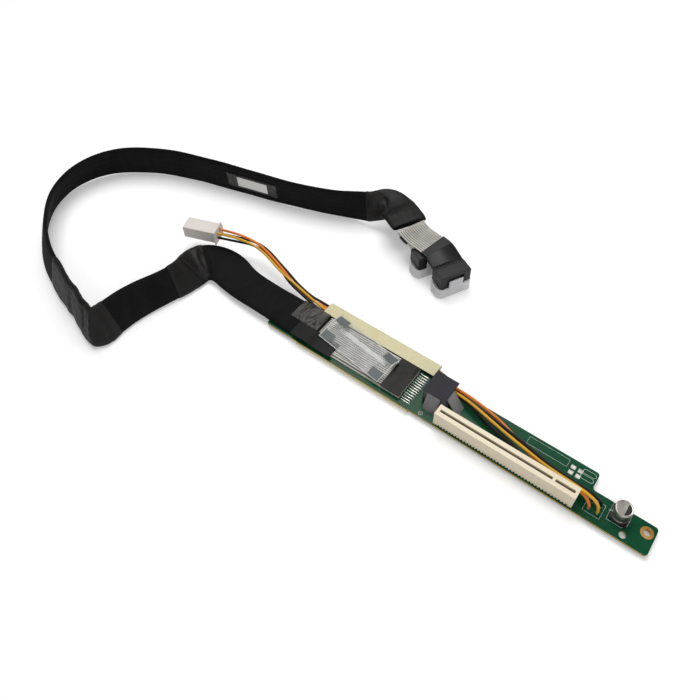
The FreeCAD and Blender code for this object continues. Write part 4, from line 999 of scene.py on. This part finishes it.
def makeCan():
    # rings up the wall: the bottom's rounding, the pressed bead, the rolled rim and the lid just below it
    s = canSettings
    wall = s["radius"]
    profile = [(wall - inset, s["low"] + rise) for inset, rise in s["foot"]]
    for k in range(s["beadSteps"] + 1):
        share = k / s["beadSteps"]
        z = s["low"] + s["beadRise"] + (share - 0.5) * s["beadHeight"]
        profile.append((wall - s["beadDepth"] * math.sin(math.pi * share), z))
    for k in range(s["rimSteps"] + 1):
        angle = math.pi / 2 * k / s["rimSteps"]
        profile.append((wall - s["rim"] * (1 - math.cos(angle)),
                        s["high"] - s["rim"] * (1 - math.sin(angle))))
    profile += [(wall - inset, s["high"] - drop) for inset, drop in s["lid"]]
    sides = s["sides"]
    places = [roundCan(radius, 2 * math.pi * i / sides, z) for radius, z in profile for i in range(sides)]
    faces = []
    for k in range(len(profile) - 1):
        low, high = k * sides, (k + 1) * sides
        faces += [(low + i, low + (i + 1) % sides, high + (i + 1) % sides, high + i) for i in range(sides)]
    faces.append(tuple(reversed(range(sides))))
    faces.append(tuple((len(profile) - 1) * sides + i for i in range(sides)))
    can = addMesh("capacitorCan", places, faces)
    for face in can.data.polygons[-2:]:
        face.use_smooth = False
    return can


def makeCanFinish():
    material, tree, shader = newFinish("canAluminium", Metallic=1.0)
    rolled = stretchedBy(tree, objectSpot(tree), (1.0, 1.0, 14.0))
    grain = useGroup(tree, grainGroup, Vector=rolled, Scale=500.0, Dark=tint(168, 162, 154),
                     Light=tint(214, 208, 200), Rough_low=0.22, Rough_high=0.4)
    tree.links.new(grain["Colour"], shader.inputs["Base Color"])
    tree.links.new(grain["Roughness"], shader.inputs["Roughness"])
    bump(tree, shader, grain["Height"], 0.00003)
    return material


canFinish = makeCanFinish()
settle(makeCan(), canFinish, "can_aluminium", "capacitor_can")
markFinish = grainFinish("blackPrint", tint(24, 22, 22), tint(38, 36, 35), 900.0, 0.4, 0.6, 0.00001)


def makeCanMark():
    # half-moon printed on the can's top
    s = canSettings
    radius = s["radius"] - s["markInset"]
    half = math.acos(s["markEdge"] / radius)
    top = s["high"] - s["markDrop"]
    count = s["markSteps"] + 1
    rim = [roundCan(radius, half * (2 * i / s["markSteps"] - 1), top) for i in range(count)]
    under = [(x, y, top - s["markThickness"]) for x, y, z in rim]
    faces = [tuple(range(count)), tuple(reversed(range(count, 2 * count)))]
    faces += [(i, i + count, (i + 1) % count + count, (i + 1) % count) for i in range(count)]
    return addMesh("capacitorMark", rim + under, faces, smooth=False)


settle(makeCanMark(), markFinish, "can_aluminium")
settle(softened("capacitorBase", "capacitor_base", 0.00025), headFinish, "black_plastic", "capacitor_base")
print("capacitor made")


# ribbons, tapes and film on the board

# the gap colour is painted shade in the grooves between the ribbon's cores
coreSettings = {"pitch": 4296.0, "gapShare": 0.75, "gap": tint(74, 71, 66)}  # pitch in radians per metre


def makeCoredFinish():
    # ribbon with painted shade in the grooves between its cores, which run along X
    material, tree, shader = newFinish("coredRibbon", Specular_IOR_Level=0.3)
    spot = objectSpot(tree)
    grain = useGroup(tree, grainGroup, Vector=spot, Scale=700.0, Dark=tint(186, 182, 174),
                     Light=tint(222, 218, 210), Rough_low=0.3, Rough_high=0.45)
    waves = reckon(tree, "SINE", reckon(tree, "MULTIPLY", axesOf(tree, spot)[1], coreSettings["pitch"]))
    shadedGrooves = reckon(tree, "MULTIPLY", reckon(tree, "GREATER_THAN", waves, 0.45), coreSettings["gapShare"])
    cores = blendColours(tree, shadedGrooves, grain["Colour"], coreSettings["gap"])
    tree.links.new(cores, shader.inputs["Base Color"])
    tree.links.new(grain["Roughness"], shader.inputs["Roughness"])
    return material


coredFinish = makeCoredFinish()
for node in ("board_ribbon_lower", "board_ribbon_upper", "underside_ribbon"):
    paint(cad[node], coredFinish)

tailSettings = {"count": 13, "left": -0.1536, "front": -0.0094, "width": 0.0010, "span": 0.0234,
                "lift": 0.00004, "uneven": 0.00012}


def makeTail():
    # one ribbon core: a flattened strip that ends in a solder fillet
    s = tailSettings
    section = ((-1, 0), (1, 0), (1, 0.45), (0.6, 0.9), (0, 1), (-0.6, 0.9), (-1, 0.45))
    # distance along the core, height and share of the full width
    stations = [(0.0, 0.00085, 0.55), (0.0022, 0.0006, 0.6), (0.0034, 0.00038, 0.8), (0.0046, 0.0004, 1.0),
                (0.0062, 0.00046, 1.0), (0.0076, 0.0003, 0.85), (0.0080, 0.0001, 0.5)]
    rings = []
    for x, height, share in stations:
        half = s["width"] / 2 * share
        middle = s["front"] + s["width"] / 2
        rings.append([Vector((s["left"] + x, middle + half * u, s["lift"] + height * v)) for u, v in section])
    return tubeMesh("tailUnit", rings, [x for x, height, share in stations])


tailStep = (tailSettings["span"] - tailSettings["width"]) / (tailSettings["count"] - 1)
tails = grown(makeTail(), rowTree, "solderTails", Count=tailSettings["count"], Step=(0, tailStep, 0),
              Uneven=tailSettings["uneven"], Seed=4, Finish=tinFinish)
settle(tails, tinFinish, "tinned_metal", "ribbon_tails")

filmStretch = (1.0, 0.35, 1.0)
dullFinish = grainFinish("dullTape", tint(17, 16, 16), tint(30, 28, 27), 500.0, 0.5, 0.7, 0.00008,
                         Specular_IOR_Level=0.2)
# shinyTape, clearFilm and creasedTape paint their crease ridges lighter: painted highlights
shinyFinish = creasedFilm("shinyTape", objectSpot, tint(16, 14, 13), tint(30, 27, 24), 110.0, filmStretch,
                          5.0, 0.0004, Roughness=0.38, Specular_IOR_Level=0.15)
coverFinish = grainFinish("coverCloth", tint(42, 40, 46), tint(60, 58, 64), 900.0, 0.55, 0.75, 0.00006,
                          Specular_IOR_Level=0.2)
foamFinish = grainFinish("greyFoam", tint(74, 74, 76), tint(112, 112, 114), 2200.0, 0.8, 0.95, 0.0002,
                         Specular_IOR_Level=0.2)
greyFinish = grainFinish("greyTape", tint(108, 108, 110), tint(140, 140, 142), 300.0, 0.3, 0.5, 0.00005)
yellowFinish = grainFinish("yellowTape", tint(216, 206, 150), tint(236, 229, 190), 220.0, 0.25, 0.45,
                           0.00006, Alpha=0.78)
filmFinish = creasedFilm("clearFilm", objectSpot, tint(188, 192, 190), tint(226, 229, 228), 60.0,
                         filmStretch, 9.0, 0.0002, Roughness=0.14, Alpha=0.18, Specular_IOR_Level=0.35)
patchFinish = creasedFilm("creasedTape", objectSpot, tint(20, 17, 15), tint(54, 48, 41), 150.0, filmStretch,
                          6.0, 0.0006, Roughness=0.28, Specular_IOR_Level=0.25)
dressing = {
    # piece: its CAD node, the rounding of its edges and the steps in it, its finish and its slot
    "jacketBand": ("jacket_band", 0.00008, 1, dullFinish, "black_tape"),
    "boardTape": ("black_tape", 0.00008, 1, shinyFinish, "black_tape"),
    "blockCover": ("block_cover", 0.00012, 2, coverFinish, "black_tape"),
    "foamBlock": ("foam_block", 0.0004, 2, foamFinish, "grey_foam"),
    "blockFrontTape": ("block_front_tape", 0.00006, 1, greyFinish, "grey_tape"),
    "blockSideTape": ("block_side_tape", 0.00006, 1, greyFinish, "grey_tape"),
    "yellowTape": ("yellow_tape", 0.00006, 1, yellowFinish, "yellow_tape"),
    "clearFilm": ("clear_film", 0.00004, 1, filmFinish, "clear_film"),
    "tapePatch": ("clear_tape_patch", 0.00005, 1, patchFinish, "clear_film"),
}
for label, (node, edge, steps, finish, slotName) in dressing.items():
    settle(softened(label, node, edge, steps), finish, slotName, node)

edgeHighlightSettings = {"corner": (-0.1679, 0.0046), "turn": math.radians(172.3), "length": 0.0515,
               "section": [(-0.0065, 0.0054), (0.0, 0.0072), (0.014, 0.0037)], "width": 0.0007,
               "height": 0.0002}


def makeFilmEdgeHighlight():
    # a bright line round the bent film's edge, a painted highlight
    s = edgeHighlightSettings
    across, along = math.sin(s["turn"]), math.cos(s["turn"])
    outline = [(0.0, y, z) for y, z in s["section"]]
    outline += [(s["length"], y, z) for y, z in reversed(s["section"])]
    turned = [(s["corner"][0] + x * along - y * across, s["corner"][1] + x * across + y * along, z)
              for x, y, z in outline]
    return edgeMesh("filmEdgeHighlightLine", [turned])


# the light colour of the film's edge line is a painted highlight
edgeHighlightFinish = grainFinish("filmEdgeHighlight", tint(214, 217, 216), tint(240, 242, 241), 400.0, 0.2, 0.4, 0.00001,
                        Alpha=0.8)
filmEdgeHighlight = grown(makeFilmEdgeHighlight(), lineTree, "filmEdgeHighlight", Width=edgeHighlightSettings["width"],
                Height=edgeHighlightSettings["height"], Finish=edgeHighlightFinish)
settle(filmEdgeHighlight, edgeHighlightFinish, "clear_film")
padFinish = grainFinish("greyPad", tint(96, 102, 102), tint(120, 126, 126), 300.0, 0.4, 0.6, 0.00003,
                        Alpha=0.8)
paint(cad["film_pads"], padFinish)
paint(cad["paper_strip"], labelFinish)
print("board dressing made")
